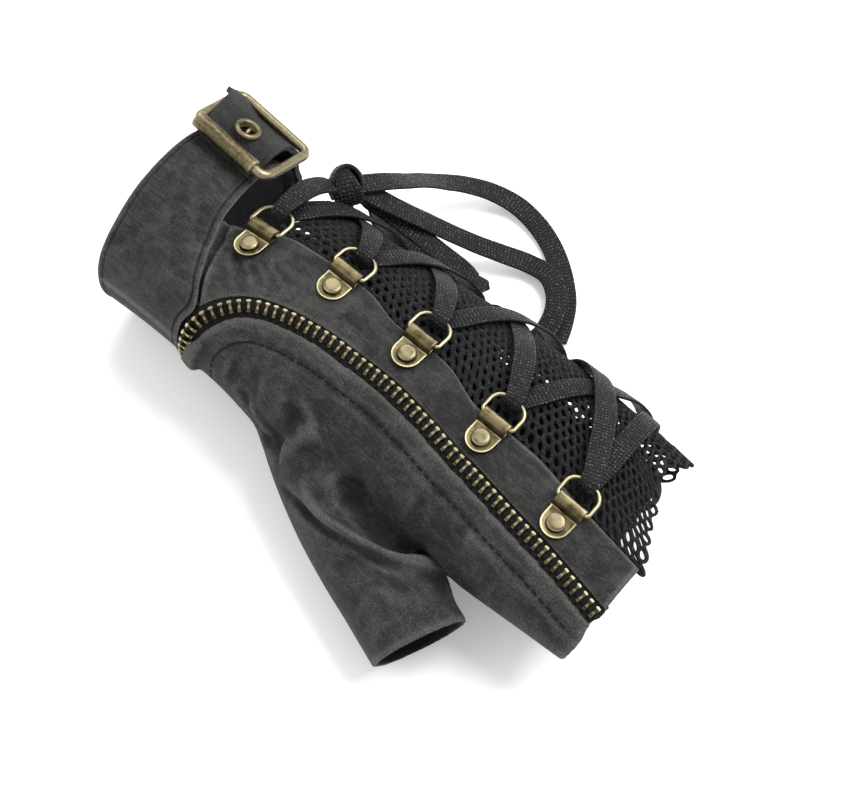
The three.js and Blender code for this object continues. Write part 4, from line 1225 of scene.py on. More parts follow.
def thumb_frames(distance):
    """Middles, sides, ups, half widths and half heights of the thumb's tube at distances along it."""
    end = THUMB_KEYS[-1]
    inside = np.clip(distance, 0, end)
    rows = thumb_at(inside)
    run = unit(thumb_at(np.minimum(inside + 1, end))[:, :3] - thumb_at(np.maximum(inside - 1, 0))[:, :3])
    side = unit(np.stack([run[:, 1], -run[:, 0], np.zeros(len(run))], 1))
    up = unit(np.cross(side, run))
    up = np.where(up[:, 2:] < 0, -up, up)
    return rows[:, :3] + run * (distance - inside)[:, None], side, up, rows[:, 3], rows[:, 4]


def thumb_solid(name, first, last, offset):
    """The thumb's tube as a closed form, with its slanting mouth and narrow root."""
    def shape(u, v):
        turn = v * math.tau
        lip = THUMB_LIP * (np.sin(turn) + 0.1) * np.clip(u * 4 - 3, 0, 1)
        distance = first + (last - first) * u + lip
        middle, side, up, wide, high = thumb_frames(distance)
        pinch = THUMB_PINCH["depth"] * hump(distance, THUMB_PINCH["at"], THUMB_PINCH["reach"])
        wide = wide - pinch * soft(-np.cos(turn) * 1.5)
        points = (middle + side * ((wide + offset) * np.cos(turn))[:, None]
                  + up * ((high + offset) * np.sin(turn))[:, None])
        points[:, 2] = np.maximum(points[:, 2], -min(offset, 0))
        return points

    item = shaped_grid(name, 96, 90, shape)
    edit(item, merge_seam, cap_ends, face_out)
    return item


def hand_solid(name, lift):
    """The hand form as a closed form, from inside the cuff to past the fingers' edge."""
    item = shaped_grid(name, 144, 60, lambda u, v: skin(26 + u * 156, v * 360, lift))
    edit(item, merge_seam, cap_ends, face_out)
    return item


def hem_relief(distance):
    """The plump folded hem beside the zipper, the groove of its stitches, and the plain palm."""
    plump = 0.75 * (1 - np.exp(-distance / 0.8)) - 0.15
    groove = -0.7 * hump(distance, STITCH_FROM_HEM, 0.75)
    fade = 1 - soft((distance - STITCH_FROM_HEM) / 9)
    return plump * np.where(distance < STITCH_FROM_HEM, 1, fade) + groove


def palm_sheet():
    """The palm's leather, from its hem beside the zipper round to its far edge."""
    hem = (HEM_EDGE, HEM_EDGE - HEM_BAND, HEM_EDGE - HEM_BAND - HEM_STEP)
    lanes = [*(beside(zipper, offset) for offset in hem), path(PALM_FAR_EDGE)]
    spread = [*np.linspace(0, 1, 14)[:-1], *np.linspace(1, 2, 4)[:-1], *np.linspace(2, 3, 113)]
    place = lanes_place(lanes, spread, edge_by_degree(PALM_START), edge_by_degree(PALM_FINGER_EDGE))

    def shape(u, v):
        x, deg, value = place(u, v)
        distance = np.interp(value, [0, 1, 2, 3], [0, HEM_BAND, HEM_BAND + HEM_STEP, PALM_ACROSS])
        return skin(x, deg, hem_relief(distance) - tucked(x, deg % 360) * soft((-15 - deg) / 6))

    item = shaped_grid("leather_body", len(spread) - 1, 160, shape)
    flip_to(item, outward(to_hand(points_of(item))))
    thicken(item, WALL, even=False)
    return item


def body_distances(hand):
    """Distances in millimetres outside the hand form and the thumb's tube, and the thumb's outward."""
    y, z = hand[:, 1], hand[:, 2]
    mid_y, mid_z, thumb, little, high, low, power = section_at(hand[:, 0]).T
    side = np.abs(y - mid_y) / np.where(y < mid_y, thumb, little)
    tall = np.abs(z - mid_z) / np.where(z > mid_z, high, low)
    from_hand = ((side ** power + tall ** power) ** (1 / power) - 1) * 28
    middle, across, up, thumb_wide, thumb_tall = thumb_frames(np.linspace(-8, THUMB_KEYS[-1] + 4, 240))
    nearest = nearest_among(middle)
    pick = np.array([nearest(point)[1] for point in hand])
    away = hand - middle[pick]
    a = np.sum(away * across[pick], 1) / thumb_wide[pick]
    b = np.sum(away * up[pick], 1) / thumb_tall[pick]
    return from_hand, (np.hypot(a, b) - 1) * 14, unit(away)


def make_body(sizes):
    """Palm and thumb sleeve as one leather skin, softened where they join."""
    palm = palm_sheet()
    end = THUMB_KEYS[-1]
    hollow = thumb_solid("thumb_hollow", -2, end + 8, -WALL)
    cut(palm, hollow, keep_tool=True)
    sleeve = thumb_solid("thumb_outer", 0, end, 0)
    cut(sleeve, hollow)
    cut(sleeve, hand_solid("hand_hollow", -WALL / 2))
    item = joined("leather_body", [palm, sleeve])
    modify(item, "REMESH", mode="VOXEL", voxel_size=sizes.voxel * MM)
    hand = to_hand(points_of(item))
    from_hand, from_thumb, thumb_out = body_distances(hand)
    joint = hump(from_hand, 0, 6) * hump(from_thumb, 0, 6)
    lower = soft((14 - hand[:, 2]) / 10) + soft((hand[:, 0] - 98) / 12)
    modify(item, "SMOOTH", factor=0.5, iterations=4)
    modify(item, "SMOOTH", factor=0.5, iterations=40,
           vertex_group=weights(item, "joint", joint * np.clip(1 - 0.6 * lower, 0, 1)))
    on_thumb = (np.abs(from_thumb) < np.abs(from_hand)) & (hand[:, 0] > 58)
    attribute(item, "inside", np.where(on_thumb, looking_in(item, thumb_out),
                                       looking_in(item, unit(outward(to_hand(points_of(item)))))))
    press_folds(item, BODY_FOLDS)
    roughened(item, reach=5, share=0.8)
    smooth_faces(item, 80)
    dress(item, "suede", "leather", "palm", "thumb_sleeve")


def make_stitch(sizes):
    """A stitch: a small round bar along X."""
    item = added("stitch", bpy.ops.mesh.primitive_uv_sphere_add, segments=8, ring_count=7, radius=0.5)
    along, across, up = points_of(item)[:, [2, 0, 1]].T
    long = signed_power(along * 2, 0.6) / 2 * sizes.stitch_length
    set_points(item, np.stack([long, across * STITCH["width"], up * STITCH["high"]], 1) * MM)
    edit(item, face_out)
    return item


def make_stitches(sizes):
    """Stitches along the hem, each laid on the palm where a ray from outside meets it."""
    tree = tree_of(bpy.data.objects["leather_body"])
    hem = beside(zipper, HEM_EDGE - STITCH_FROM_HEM)
    share = STITCH["last"] - STITCH["first"]
    count = int(hem.total * share / sizes.stitch_pitch)
    shares = STITCH["first"] + (np.arange(count) + 0.5) / count * share
    origin, _, _, normal = frame_at(*hem(shares).T)
    direction = skin(*hem(np.minimum(shares + 0.002, 1)).T) - origin
    matrices = []
    for point, out, run in zip(origin, normal, direction):
        hit, face, _, _ = tree.ray_cast(Vector(to_metres(point + out * 6)), Vector(-out), 0.014)
        if hit is None:
            continue
        up = np.array(face)
        up = up if up @ out > 0 else -up
        run = unit(run - up * (run @ up))
        matrices.append(axes_matrix(np.array(hit) - up * STITCH["sink"] * MM, run, np.cross(up, run), up))
    item = scattered("hem_stitches.001", make_stitch(sizes), matrices)
    smooth_faces(item, 60)
    dress(item, "thread", "leather")


# Net

def net_place():
    """Reader of the net's places: u from the wrist to the fingers, v from the near to the far edge."""
    near = beside(part(path(NET_EDGE), NET["start"], 1), SEAM_GAP)
    far, fingers = path(NET_FAR_EDGE), path(NET_FINGER_EDGE)

    def read(u, v):
        first, last = near(u), far(u)
        base = first + (last - first) * v[:, None]
        start, finish = near(np.ones_like(u)), far(np.ones_like(u))
        end = start + (finish - start) * v[:, None]
        return base + (fingers(np.clip(v, 0, 1)) - end) * (u ** 3)[:, None]

    return read


def net_cells(columns, rows, chance):
    """Corners and faces of six-sided cells, in columns and rows, with some missing at the fingers."""
    corners, faces = {}, []

    def corner(a, b):
        return corners.setdefault((round(a * 6), round(b * 6)), (len(corners), a, b))[0]

    ring = ((0, 2 / 3), (0.5, 1 / 3), (0.5, -1 / 3), (0, -2 / 3), (-0.5, -1 / 3), (-0.5, 1 / 3))
    for row in range(rows + 1):
        for column in range(1, columns + 1 - row % 2):
            if column > columns - 1 and chance.random() < NET["torn"]:
                continue
            middle = column + (row % 2) / 2
            faces.append([corner(middle + dx, row + dy) for dx, dy in ring])
    return np.array([(a, b) for _, a, b in corners.values()]), faces


def make_net(sizes):
    """Knitted net: cells of six sides, tight at the wrist and under the leather, torn at the fingers."""
    long, wide = NET["long"], NET["wide"]
    pitch = sizes.net_pitch * 1
    columns, rows = int(long / pitch), int(wide / (pitch * 0.866))
    chance = random.Random(11)
    spots, faces = net_cells(columns, rows, chance)
    jitter = np.array([(chance.uniform(-1, 1), chance.uniform(-1, 1)) for _ in spots]) * 0.12
    u, v = ((spots + jitter) / (columns, rows)).T
    place = net_place()(np.clip(u, 0, 1), v)
    place[:, 0] += np.maximum(u - 1, 0) * long
    inside = np.clip(v, 0, 1)
    tuck = sum(hump(away * wide, 0, NET["tuck_reach"]) for away in (inside, 1 - inside)) * -NET["tuck"]
    middles = to_metres(skin(*place.T, tuck - NET["half"]))
    item = meshed("net_back", middles, faces)
    openness = soft((u - 0.42) / 0.42) * (1 - 0.5 * hump(v * wide, 0, 8))
    group = weights(item, "yarn", np.clip(0.97 - 0.4 * openness + jitter[:, 0] * 0.8, 0.1, 1))
    modify(item, "WIREFRAME", thickness=sizes.yarn * MM, offset=0, use_even_offset=False,
           use_boundary=True, use_replace=True, vertex_group=group)
    nearest = nearest_among(middles)
    points = points_of(item)
    for index, point in enumerate(points):
        middle, _, away = nearest(point)
        if away > NET["stray"] * MM:
            points[index] = middle
    set_points(item, points)
    modify(item, "SUBSURF", levels=1, render_levels=1)
    smooth_faces(item, 180)
    dress(item, "net", "net", "mesh_back")


def make_webs(sizes):
    """Bands that run down between the fingers, from the net's edge to the palm's."""
    t = np.linspace(0, 1, 30)[:, None]
    for index, (y, top_x, bottom_x, top, bottom) in enumerate(WEBS):
        p0, p1, p2, p3 = np.array([[top_x - 1, y, top], [top_x + 1.5, y, top - 1],
                                   [bottom_x + 4.5, y, bottom + 6], [bottom_x, y, bottom]])
        centres = (1 - t) ** 3 * p0 + 3 * t * (1 - t) ** 2 * p1 + 3 * t * t * (1 - t) * p2 + t ** 3 * p3
        sides = np.tile([0.0, 1.0, 0.0], (len(centres), 1))
        ups = unit(np.cross(sides, directions(centres)))
        section = flat_section(WEB_WIDTH, WEB_THICK)
        item = swept(f"finger_band_{index + 1}", centres, sides, ups, section, flat_uv=True)
        smooth_faces(item)
        dress(item, "tape", "net", f"finger_web_{index + 1}")


# Zipper

def make_tooth():
    """One zipper tooth across X: two legs round the cord, a waist and a nubbed head."""
    item = added("tooth", bpy.ops.mesh.primitive_cube_add, size=1)
    edit(item, lambda: bpy.ops.mesh.subdivide(number_cuts=6))
    points = points_of(item)
    across = points[:, 0] * 2
    head, foot = hump(across, -0.74, 0.24), hump(across, 0.8, 0.35)
    wide = 0.7 + 0.75 * head + 0.2 * foot
    high = 1.5 - 0.15 * across ** 2 + 0.3 * head - 0.35 * foot
    shaped = [points[:, 0] * 3.5, points[:, 1] * wide - 0.16 * head, (points[:, 2] + 0.5) * high]
    set_points(item, np.stack(shaped, 1) * MM)
    bevel(item, 0.2, 60)
    return item


def make_teeth(sizes):
    """The chain of teeth, each a little out of line with the next."""
    count = round(zipper.total / ZIP_PITCH)
    origin, _, _, normal = frame_at(*zipper((np.arange(count) + 0.5) / count).T, -0.25)
    run = directions(origin)
    across = unit(np.cross(run, normal))
    chance = random.Random(5)
    matrices = []
    for point, out, ahead, aside in zip(origin, normal, run, across):
        ahead = unit(ahead + aside * chance.uniform(-0.06, 0.06))
        matrices.append(axes_matrix(to_metres(point), unit(np.cross(ahead, out)), ahead, out))
    teeth = scattered("zip_chain", make_tooth(), matrices)
    roughened(teeth, reach=1)
    smooth_faces(teeth, 40)
    dress(teeth, "teeth", "teeth", "zipper_teeth")


def make_tape(sizes):
    """The tape under the teeth, with its cord, from inside the palm's wall to under the panel's side."""
    wide = TAPE["panel_edge"] - TAPE["palm_edge"]
    place = lanes_place([beside(zipper, TAPE["palm_edge"]), beside(zipper, TAPE["panel_edge"])], [0, 1])

    def shape(u, v):
        x, deg, _ = place(u, v)
        cord = TAPE["cord"] * hump(TAPE["palm_edge"] + v * wide, TAPE["cord_at"], 0.7)
        under = np.clip((v - 1 + TAPE["lap"]) / TAPE["lap"], 0, 1) * soft((PANEL_FROM + 3 - deg) / 5)
        x = x - TAPE["lap_shift"] * under
        return skin(x, deg, cord - TAPE["sunk"] - under * tucked(x, deg))

    tape = shaped_grid("zip_tape", 26, 260, shape, uv_size=(zipper.total, wide))
    flip_to(tape, outward(to_hand(points_of(tape))))
    thicken(tape, TAPE["thick"], even=False)
    smooth_faces(tape, 60)
    dress(tape, "tape", "tape", "zipper_tape")


# Lace plates

def plate_frame(place, towards):
    """Where a plate sits and its ring lies: its seat on the leather, its bar and the ring's far limb."""
    x, deg = place
    _, _, around, up = frame_at(x, deg + towards * 3.0)
    out = around * towards
    side = unit(np.cross(out, up))
    origin = skin(x, deg)
    across, turn = np.meshgrid(np.arange(-4.5, 4.51, 0.75), np.arange(-9, 14.5, 1.0))
    under = skin(x + across, deg + towards * turn) - origin
    ahead = under @ out
    within = (ahead > -PLATE["radius"]) & (ahead < PLATE["bar_at"]) & (np.abs(under @ side) < PLATE["radius"])
    origin = origin + up * (max(0, (under @ up)[within].max()) + PLATE["seat"])
    bar = origin + out * PLATE["bar_at"] + up * PLATE["bar_up"]
    limb_deg = float(deg)
    while np.linalg.norm(skin(x, limb_deg, RING_LIFT) - bar) < RING["depth"] or abs(limb_deg - deg) < 12:
        limb_deg += towards * 0.25
    limb = skin(x, limb_deg, RING_LIFT)
    reach = unit(limb - bar)
    ring_up = unit(np.cross(side, reach))
    ring_up = ring_up if ring_up @ up > 0 else -ring_up
    return {"origin": origin, "out": out, "side": side, "up": up, "bar": bar, "x": x, "deg": limb_deg,
            "limb": limb, "reach": reach, "ring_up": ring_up}


PLATES = {
    "near": [plate_frame(place, 1) for place in NEAR_PLATES],
    "far": [plate_frame(place, -1) for place in FAR_PLATES],
}


def make_plate_model():
    """A round-ended plate with a sunk face, and its tongue rolled over to a barrel for the ring."""
    radius = PLATE["radius"]
    base = added("plate", bpy.ops.mesh.primitive_circle_add, vertices=48, radius=radius * MM,
                 fill_type="NGON")
    points = points_of(base)
    ahead = points[:, 0] > 1e-6
    points[ahead, 1] = np.sign(points[ahead, 1] + 1e-9) * radius * MM
    points[ahead, 0] = PLATE["square_to"] * MM
    set_points(base, points)
    lift = {"value": (0, 0, PLATE["thick"] * MM)}
    edit(base, merge_seam,
         lambda: bpy.ops.mesh.extrude_region_move(TRANSFORM_OT_translate=lift),
         lambda: bpy.ops.mesh.inset(thickness=PLATE["rim"] * MM, depth=-PLATE["sunk"] * MM), face_out)
    bevel(base, 0.16, 35, 3)
    rolled = np.array([
        [3.0, 0.35], [3.35, 0.5], [3.6, 0.95], [3.8, 1.5], [4.1, 2.05], [4.6, 2.4], [5.4, 2.56],
        *[[PLATE["bar_at"] + PLATE["barrel"] * math.cos(t), PLATE["bar_up"] + PLATE["barrel"] * math.sin(t)]
          for t in np.radians(np.linspace(90, -90, 14))],
        [5.4, 0.52], [4.4, 0.42], [3.6, 0.4]])

    def shape(u, v):
        ahead, high = rolled[np.rint(u * (len(rolled) - 1)).astype(int)].T
        return np.stack([ahead, (v - 0.5) * 2 * (radius + 0.15), high], -1) + np.array(CENTRE)

    roll = shaped_grid("roll", 10, len(rolled) - 1, shape)
    thicken(roll, 0.68, offset=0)
    bevel(roll, 0.12)
    item = joined("plate_model", [base, roll])
    # Painted into the brass: a highlight on the rim's bevel and along the barrel's top, tarnish on the sunk
    # face, painted shade at the step.
    along, _, height = points_of(item).T / MM
    barrel_highlight = 0.45 + 0.42 * hump(along, PLATE["bar_at"] + 0.7, 0.5)
    face = np.where(height > PLATE["thick"] - 0.13, 0.86, 0.36)
    attribute(item, "wear_and_painted_light", np.where(along > 4.1, barrel_highlight, np.where(height > PLATE["thick"] + 0.05, 0.2, face)))
    smooth_faces(item, 40)
    return item


def make_cap_model():
    """A rivet's domed head, worn and with a painted highlight near its top edge, and painted shade at its
    foot.
    """
    base = PLATE["thick"]
    item = lathed("cap_model", [[radius, base + high] for radius, high in CAP_PROFILE], 40)
    high = points_of(item)[:, 2] / MM - base
    # Painted highlight near the top edge, painted shade at the foot where it meets the plate.
    attribute(item, "wear_and_painted_light", np.interp(high, [0, 0.3, 0.6, 0.9], [0.1, 0.45, 0.86, 0.62]))
    smooth_faces(item, 45)
    return item


def ring_line():
    """Route of a ring in its own plane: rows of [reach, side] round from one heel to the other."""
    quarters = []
    for far, hand, start in ((0, -1, 180), (1, -1, 270), (1, 1, 0), (0, 1, 90)):
        radius = RING["corner"] if far else RING["heel"]
        ahead = RING["depth"] - radius if far else radius
        quarters.append((ahead, hand * (RING["half_width"] - radius), radius, start))
    return quarter_turns(quarters, 10)


def make_plates(sizes):
    """Ten plates, each with a rivet's head and a ring."""
    plate, cap = make_plate_model(), make_cap_model()
    line = ring_line()
    for row, frames in PLATES.items():
        for index, found in enumerate(frames):
            name = f"{row}_{index + 1}"
            matrix = axes_matrix(to_metres(found["origin"]), found["out"],
                                 np.cross(found["up"], found["out"]), found["up"])
            dress(copy_at(plate, f"plate_{name}", matrix), "brass", "brass", f"lace_plate_{name}")
            dress(copy_at(cap, f"cap_{name}", matrix), "brass", "brass", f"rivet_{name}")
            centres = found["bar"] + line[:, :1] * found["reach"] + line[:, 1:] * found["side"]
            ring = closed_bar(f"ring_{name}", centres, found["ring_up"], circle(12, RING["wire"]))
            dress(ring, "brass", "brass", f"lace_ring_{name}")
    for model in (plate, cap):
        bpy.data.objects.remove(model)


# Lace

def lace_frames():
    """Middles, sides and widths of the lace on its way from the knot through every ring and back."""
    stops = [PLATES[row][i] for row, i in STOPS]
    rows = []

    def lay(x, deg, run_x, run_deg, lift, width):
        origin, along, around, normal = frame_at(x, deg, lift)
        direction = along * run_x + around * run_deg * DEG_MM
        rows.append((origin, unit(np.cross(unit(direction), normal)), width))

    def at_knot(place, ahead):
        lay(place["x"], place["deg"], ahead["x"] - place["x"], ahead["deg"] - place["deg"], KNOT_LIFT, 0.9)

    def run(start, end, lifts, steps, bow=(0, 0)):
        run_x, run_deg = end["x"] - start["x"], end["deg"] - start["deg"]
        for k in range(1, steps):
            t = k / steps
            lift = (lifts[0] + (lifts[1] - lifts[0]) * soft(2 * t) if t < 0.5
                    else lifts[1] + (lifts[2] - lifts[1]) * soft(2 * t - 1))
            sway = math.sin(math.pi * t)
            lay(start["x"] + run_x * t + bow[0] * sway, start["deg"] + run_deg * t + bow[1] * sway,
                run_x, run_deg, lift, 1.0)

    high, low = RING_LIFT + TURN_RADIUS, RING_LIFT - TURN_RADIUS
    knot_near = {"x": KNOT["x"] - 0.8, "deg": KNOT["deg"] - 6}
    knot_far = {"x": KNOT["x"] - 1, "deg": KNOT["deg"] + 15}
    at_knot(knot_near, stops[0])
    run(knot_near, stops[0], (KNOT_LIFT, KNOT_LEAVING, high), 5, (-1.5, 5))
    for i, stop in enumerate(stops):
        turns = range(90, 271, 30)
        for turn in (turns if i < OUTWARD else turns[::-1]):
            angle = math.radians(turn)
            away = stop["reach"] * math.cos(angle) + stop["ring_up"] * math.sin(angle)
            rows.append((stop["limb"] + away * TURN_RADIUS, stop["side"], 0.86))
        if i < len(stops) - 1:
            first, last = (low, high) if i + 1 < OUTWARD else (low, low) if i + 1 == OUTWARD else (high, low)
            run(stop, stops[i + 1], (first, LACE_LIFT[CROSSINGS[i]], last), 8)
    run(stops[-1], knot_far, (high, KNOT_LEAVING, KNOT_LIFT), 5)
    at_knot(knot_far, {"x": KNOT["x"] + 1, "deg": KNOT["deg"]})
    points, sides, widths = (np.array(column) for column in zip(*rows))
    return points, aligned(sides), widths


def ribbon(name, points, sides, widths, step, section):
    """A flat lace along frames, carried smoothly between them."""
    centres = smooth_line(points, step)
    marks, lengths = lengths_along(points), lengths_along(centres)
    lengths *= marks[-1] / lengths[-1]
    even = between(lengths, marks, sides)
    run = directions(centres)
    even = unit(even - run * np.sum(even * run, 1, keepdims=True))
    scale = np.interp(lengths, marks, widths)
    item = swept(name, centres, even, unit(np.cross(even, run)), section, scale=scale, flat_uv=True)
    smooth_faces(item, 60)
    return item


def make_lace(sizes):
    dress(ribbon("lacing", *lace_frames(), 0.8, flat_section(LACE_WIDTH, LACE_THICK)), "lace", "lace", "lace")


def knot_middle():
    """The middle of the knot, moved a little across the view from its place on the glove."""
    right, up, _ = view_basis()
    return frame_at(KNOT["x"], KNOT["deg"], KNOT["lift"])[0] + right * KNOT["right"] + up * KNOT["up"]


def knot_wrap(rows):
    """A band of the knot from rows of its middle and width, laid round the knot's core."""
    rows = np.array(rows, float)
    right, up, back = view_basis()
    core = knot_middle()
    points = core + rows[:, :1] * right + rows[:, 1:2] * up + rows[:, 2:3] * back
    sides = aligned(unit(np.cross(directions(points), unit(points - core))))
    return ribbon("wrap", points, sides, rows[:, 3] / LACE_WIDTH, 0.5, flat_section(LACE_WIDTH, KNOT["wrap"]))


def make_knot(sizes):
    """A tight core, the loop that passes behind it and the folded band over its front."""
    right, up, back = view_basis()
    profile = [[KNOT_CORE["radius"] * math.cos(t), KNOT_CORE["half_high"] * math.sin(t)]
               for t in np.linspace(-math.pi / 2, math.pi / 2, 12)]
    core = lathed("core", profile, 24)
    middle = knot_middle() - back * KNOT_CORE["back"] + up * KNOT_CORE["up"]
    core.data.transform(axes_matrix(to_metres(middle), right, -back, up))
    item = joined("lace_bow_knot", [knot_wrap(KNOT_FRONT), knot_wrap(KNOT_LOOP), core])
    smooth_faces(item, 60)
    dress(item, "lace", "lace", "lace_knot")


def make_loose_lace(name, node, route):
    """One free stretch of lace, flat on its way."""
    route = np.array(route, float)
    start = route[0] + (knot_middle() - route[0]) * 0.35
    centres = smooth_line(np.concatenate([[start], route]), 0.9)
    run = directions(centres)
    sides = unit(np.cross(run, [0.0, 0.0, 1.0]))
    section = flat_section(LACE_WIDTH, LACE_THICK)
    item = swept(name, centres, sides, unit(np.cross(sides, run)), section, flat_uv=True)
    smooth_faces(item, 60)
    dress(item, "lace", "lace", node)
    metres = to_metres(centres)
    length = lengths_along(curve_through(route))[-1]


def make_bow(sizes):
    make_loose_lace("bow_tail_long", "lace_tail_long", TAIL_LONG)
    make_loose_lace("bow_tail_short", "lace_tail_short", TAIL_SHORT)
    make_loose_lace("bow_loop", "lace_loop", LOOP)


# Buckle

def buckle_axes():
    """The buckle's middle and its directions along the hand, across it and up."""
    along = frame_at(STRAP_X, 122.0)[1]
    turn, lean = math.radians(BUCKLE_TURN), math.radians(BUCKLE_TILT)
    long = np.array([along[0] * math.cos(turn) - along[1] * math.sin(turn),
                     along[0] * math.sin(turn) + along[1] * math.cos(turn), along[2]])
    up = np.array([0, math.sin(lean), math.cos(lean)])
    up = unit(up - long * (up @ long))
    return np.array(BUCKLE_AT), long, unit(np.cross(up, long)), up


def in_buckle(a, b, c):
    """Points by their measures along, across and over the buckle's middle."""
    origin, long, across, up = buckle_axes()
    a, b, c = (np.asarray(value, float)[..., None] for value in (a, b, c))
    return origin + long * a + across * b + up * c


def at_eyelet():
    """The matrix that puts a turned piece at the strap's eyelet."""
    _, *axes = buckle_axes()
    return axes_matrix(to_metres(in_buckle(EYELET["long"], EYELET["across"], 0)), *axes)


def make_buckle(sizes):
    """Frame, roller and prong."""
    _, long, across, up = buckle_axes()
    half_long, half_wide, corner = BUCKLE["long"] / 2, BUCKLE["wide"] / 2, BUCKLE["corner"]
    rows = quarter_turns([(a * (half_long - corner), b * (half_wide - corner), corner, start)
                          for a, b, start in ((1, 1, 0), (-1, 1, 90), (-1, -1, 180), (1, -1, 270))], 9)
    dense = []
    for first, second in zip(rows, np.roll(rows, -1, 0)):
        pieces = max(int(np.linalg.norm(second - first) / 1.2), 1)
        dense.extend(first + (second - first) * k / pieces for k in range(pieces))
    centres = in_buckle(*np.array(dense).T, np.zeros(len(dense)))
    loop = closed_bar("buckle_loop", centres, up, circle(18, BUCKLE["wire"]))
    dress(loop, "roller", "brass", "buckle_frame")

    tall = BUCKLE["roller_long"] / 2
    outer, inner = BUCKLE["roller"], BUCKLE["wire"] + 0.05
    roller = lathed("buckle_sleeve", [[inner, -tall], [outer - 0.2, -tall], [outer, -tall + 0.2],
                                      *[[outer, height] for height in np.linspace(-tall + 1, tall - 1, 12)],
                                      [outer, tall - 0.2], [outer - 0.2, tall], [inner, tall]], 36)
    roughened(roller, reach=1)
    place = to_metres(in_buckle(-1.7, -half_wide, 0))
    roller.data.transform(axes_matrix(place, across, np.cross(long, across), long))
    smooth_faces(roller, 40)
    dress(roller, "roller", "brass", "buckle_roller")

    flat = np.array(PRONG)
    centres = smooth_line(in_buckle(np.full(len(flat), EYELET["long"]), *flat.T), 0.5)
    sides = np.tile(long, (len(centres), 1))
    ups = unit(np.cross(sides, directions(centres)))
    taper = np.interp(np.linspace(0, 1, len(centres)), [0, 0.8, 1], [1.0, 1.0, 0.55])
    prong = swept("buckle_tongue", centres, sides, ups, circle(12, 0.75), scale=taper)
    roughened(prong, reach=1)
    smooth_faces(prong)
    dress(prong, "brass", "brass", "buckle_prong")


def make_strap(sizes):
    """Leather strap: arched up through the frame, then down the little-finger side of the cuff."""
    origin, long, across, _ = buckle_axes()
    arch = np.array(STRAP_ARCH)
    on_cuff, along, _, _ = frame_at(np.full(3, STRAP_X), np.array(STRAP_ON_CUFF), WALL / 2 + 0.6)
    points = np.concatenate([in_buckle(np.full(len(arch), -0.6), *arch.T), on_cuff])
    sides = np.concatenate([np.tile(long, (len(arch), 1)), along])
    marks = lengths_along(points)
    centres = smooth_line(points, 0.6)
    even = unit(between(np.linspace(0, marks[-1], len(centres)), marks, sides))
    rise = unit(np.cross(even, directions(centres)))

    over = np.sum((centres - origin) * across, axis=1)
    lapped = np.clip((over + 9) / 15, 0, 1) * soft((13 - over) / 3)
    spur = 1.9 * hump(over, 4.6, 0.5)
    curl = 1.3 * hump(over, 1.0, 5.5)

    def shape(u, v):
        i = np.rint(u * (len(centres) - 1)).astype(int)
        width = (v - 0.5) * STRAP_WIDTH - (STRAP_LAP * lapped + spur)[i] * soft(1 - v * 3)
        sag = (-0.35 * (2 * v - 1) ** 2 + 2.0 * lapped[i] * soft((-width - 2) / 9)
               + curl[i] * soft((v - 0.7) / 0.3))
        return centres[i] + even[i] * width[:, None] + rise[i] * (WALL / 2 + sag)[:, None]

    item = shaped_grid("leather_strap", 44, len(centres) - 1, shape)
    flip_to(item, points_of(item) - to_metres(in_buckle(0, 0, -14)))
    thicken(item, WALL)
    hole = lathed("hole", [[0, -12], [EYELET["hole"], -12], [EYELET["hole"], 8], [0, 8]], 32)
    hole.data.transform(at_eyelet())
    cut(item, hole)
    attribute(item, "inside", np.zeros(len(item.data.vertices)))
    bevel(item, 0.35)
    roughened(item, share=0.3)
    smooth_faces(item)
    dress(item, "strap_leather", "leather", "cuff_strap")


def make_eyelet(sizes):
    """The eyelet's rolled brass rim round the hole in the strap."""
    base, outer, inner, neck = EYELET["base"], EYELET["outer"], EYELET["inner"], EYELET["neck"]
    rim = [[(inner + outer) / 2 + (outer - inner) / 2 * math.cos(t), base + 0.35 + 0.75 * math.sin(t)]
           for t in np.linspace(math.pi, 0, 12)]
    profile = [[inner, base - 0.9], *rim, [outer - 0.15, base - 0.1], [neck + 0.1, base - 0.1],
               [neck, base - 0.9], [inner, base - 0.9]]
    eyelet = lathed("strap_ring", profile, 40)
    roughened(eyelet, reach=1)
    eyelet.data.transform(at_eyelet())
    smooth_faces(eyelet, 60)
    dress(eyelet, "brass", "brass", "strap_eyelet")


# Add-on

def millimetres(label, text, level, low, high):
    return bpy.props.FloatProperty(name=label, description=text, default=level, min=low, max=high)


class GloveSizes(bpy.types.PropertyGroup):
    """Sizes of the finer work, in millimetres."""
    voxel: millimetres("Skin grain", "Grid on which the palm and thumb are joined, mm", 0.68, 0.4, 2.0)
    net_pitch: millimetres("Net pitch", "Distance between the net's holes, mm", 3.0, 2.0, 6.0)
    yarn: millimetres("Yarn", "Thickness of the net's yarn where it is tight, mm", 2.9, 0.4, 3.5)
    stitch_length: millimetres("Stitch", "Length of one stitch, mm", 2.0, 0.5, 6.0)
    stitch_pitch: millimetres("Stitch pitch", "Distance between stitches, mm", 2.75, 1.0, 8.0)


def colour(label, text, level):
    return bpy.props.FloatVectorProperty(name=label, description=text, subtype="COLOR", size=3, min=0, max=1,
                                         default=level)


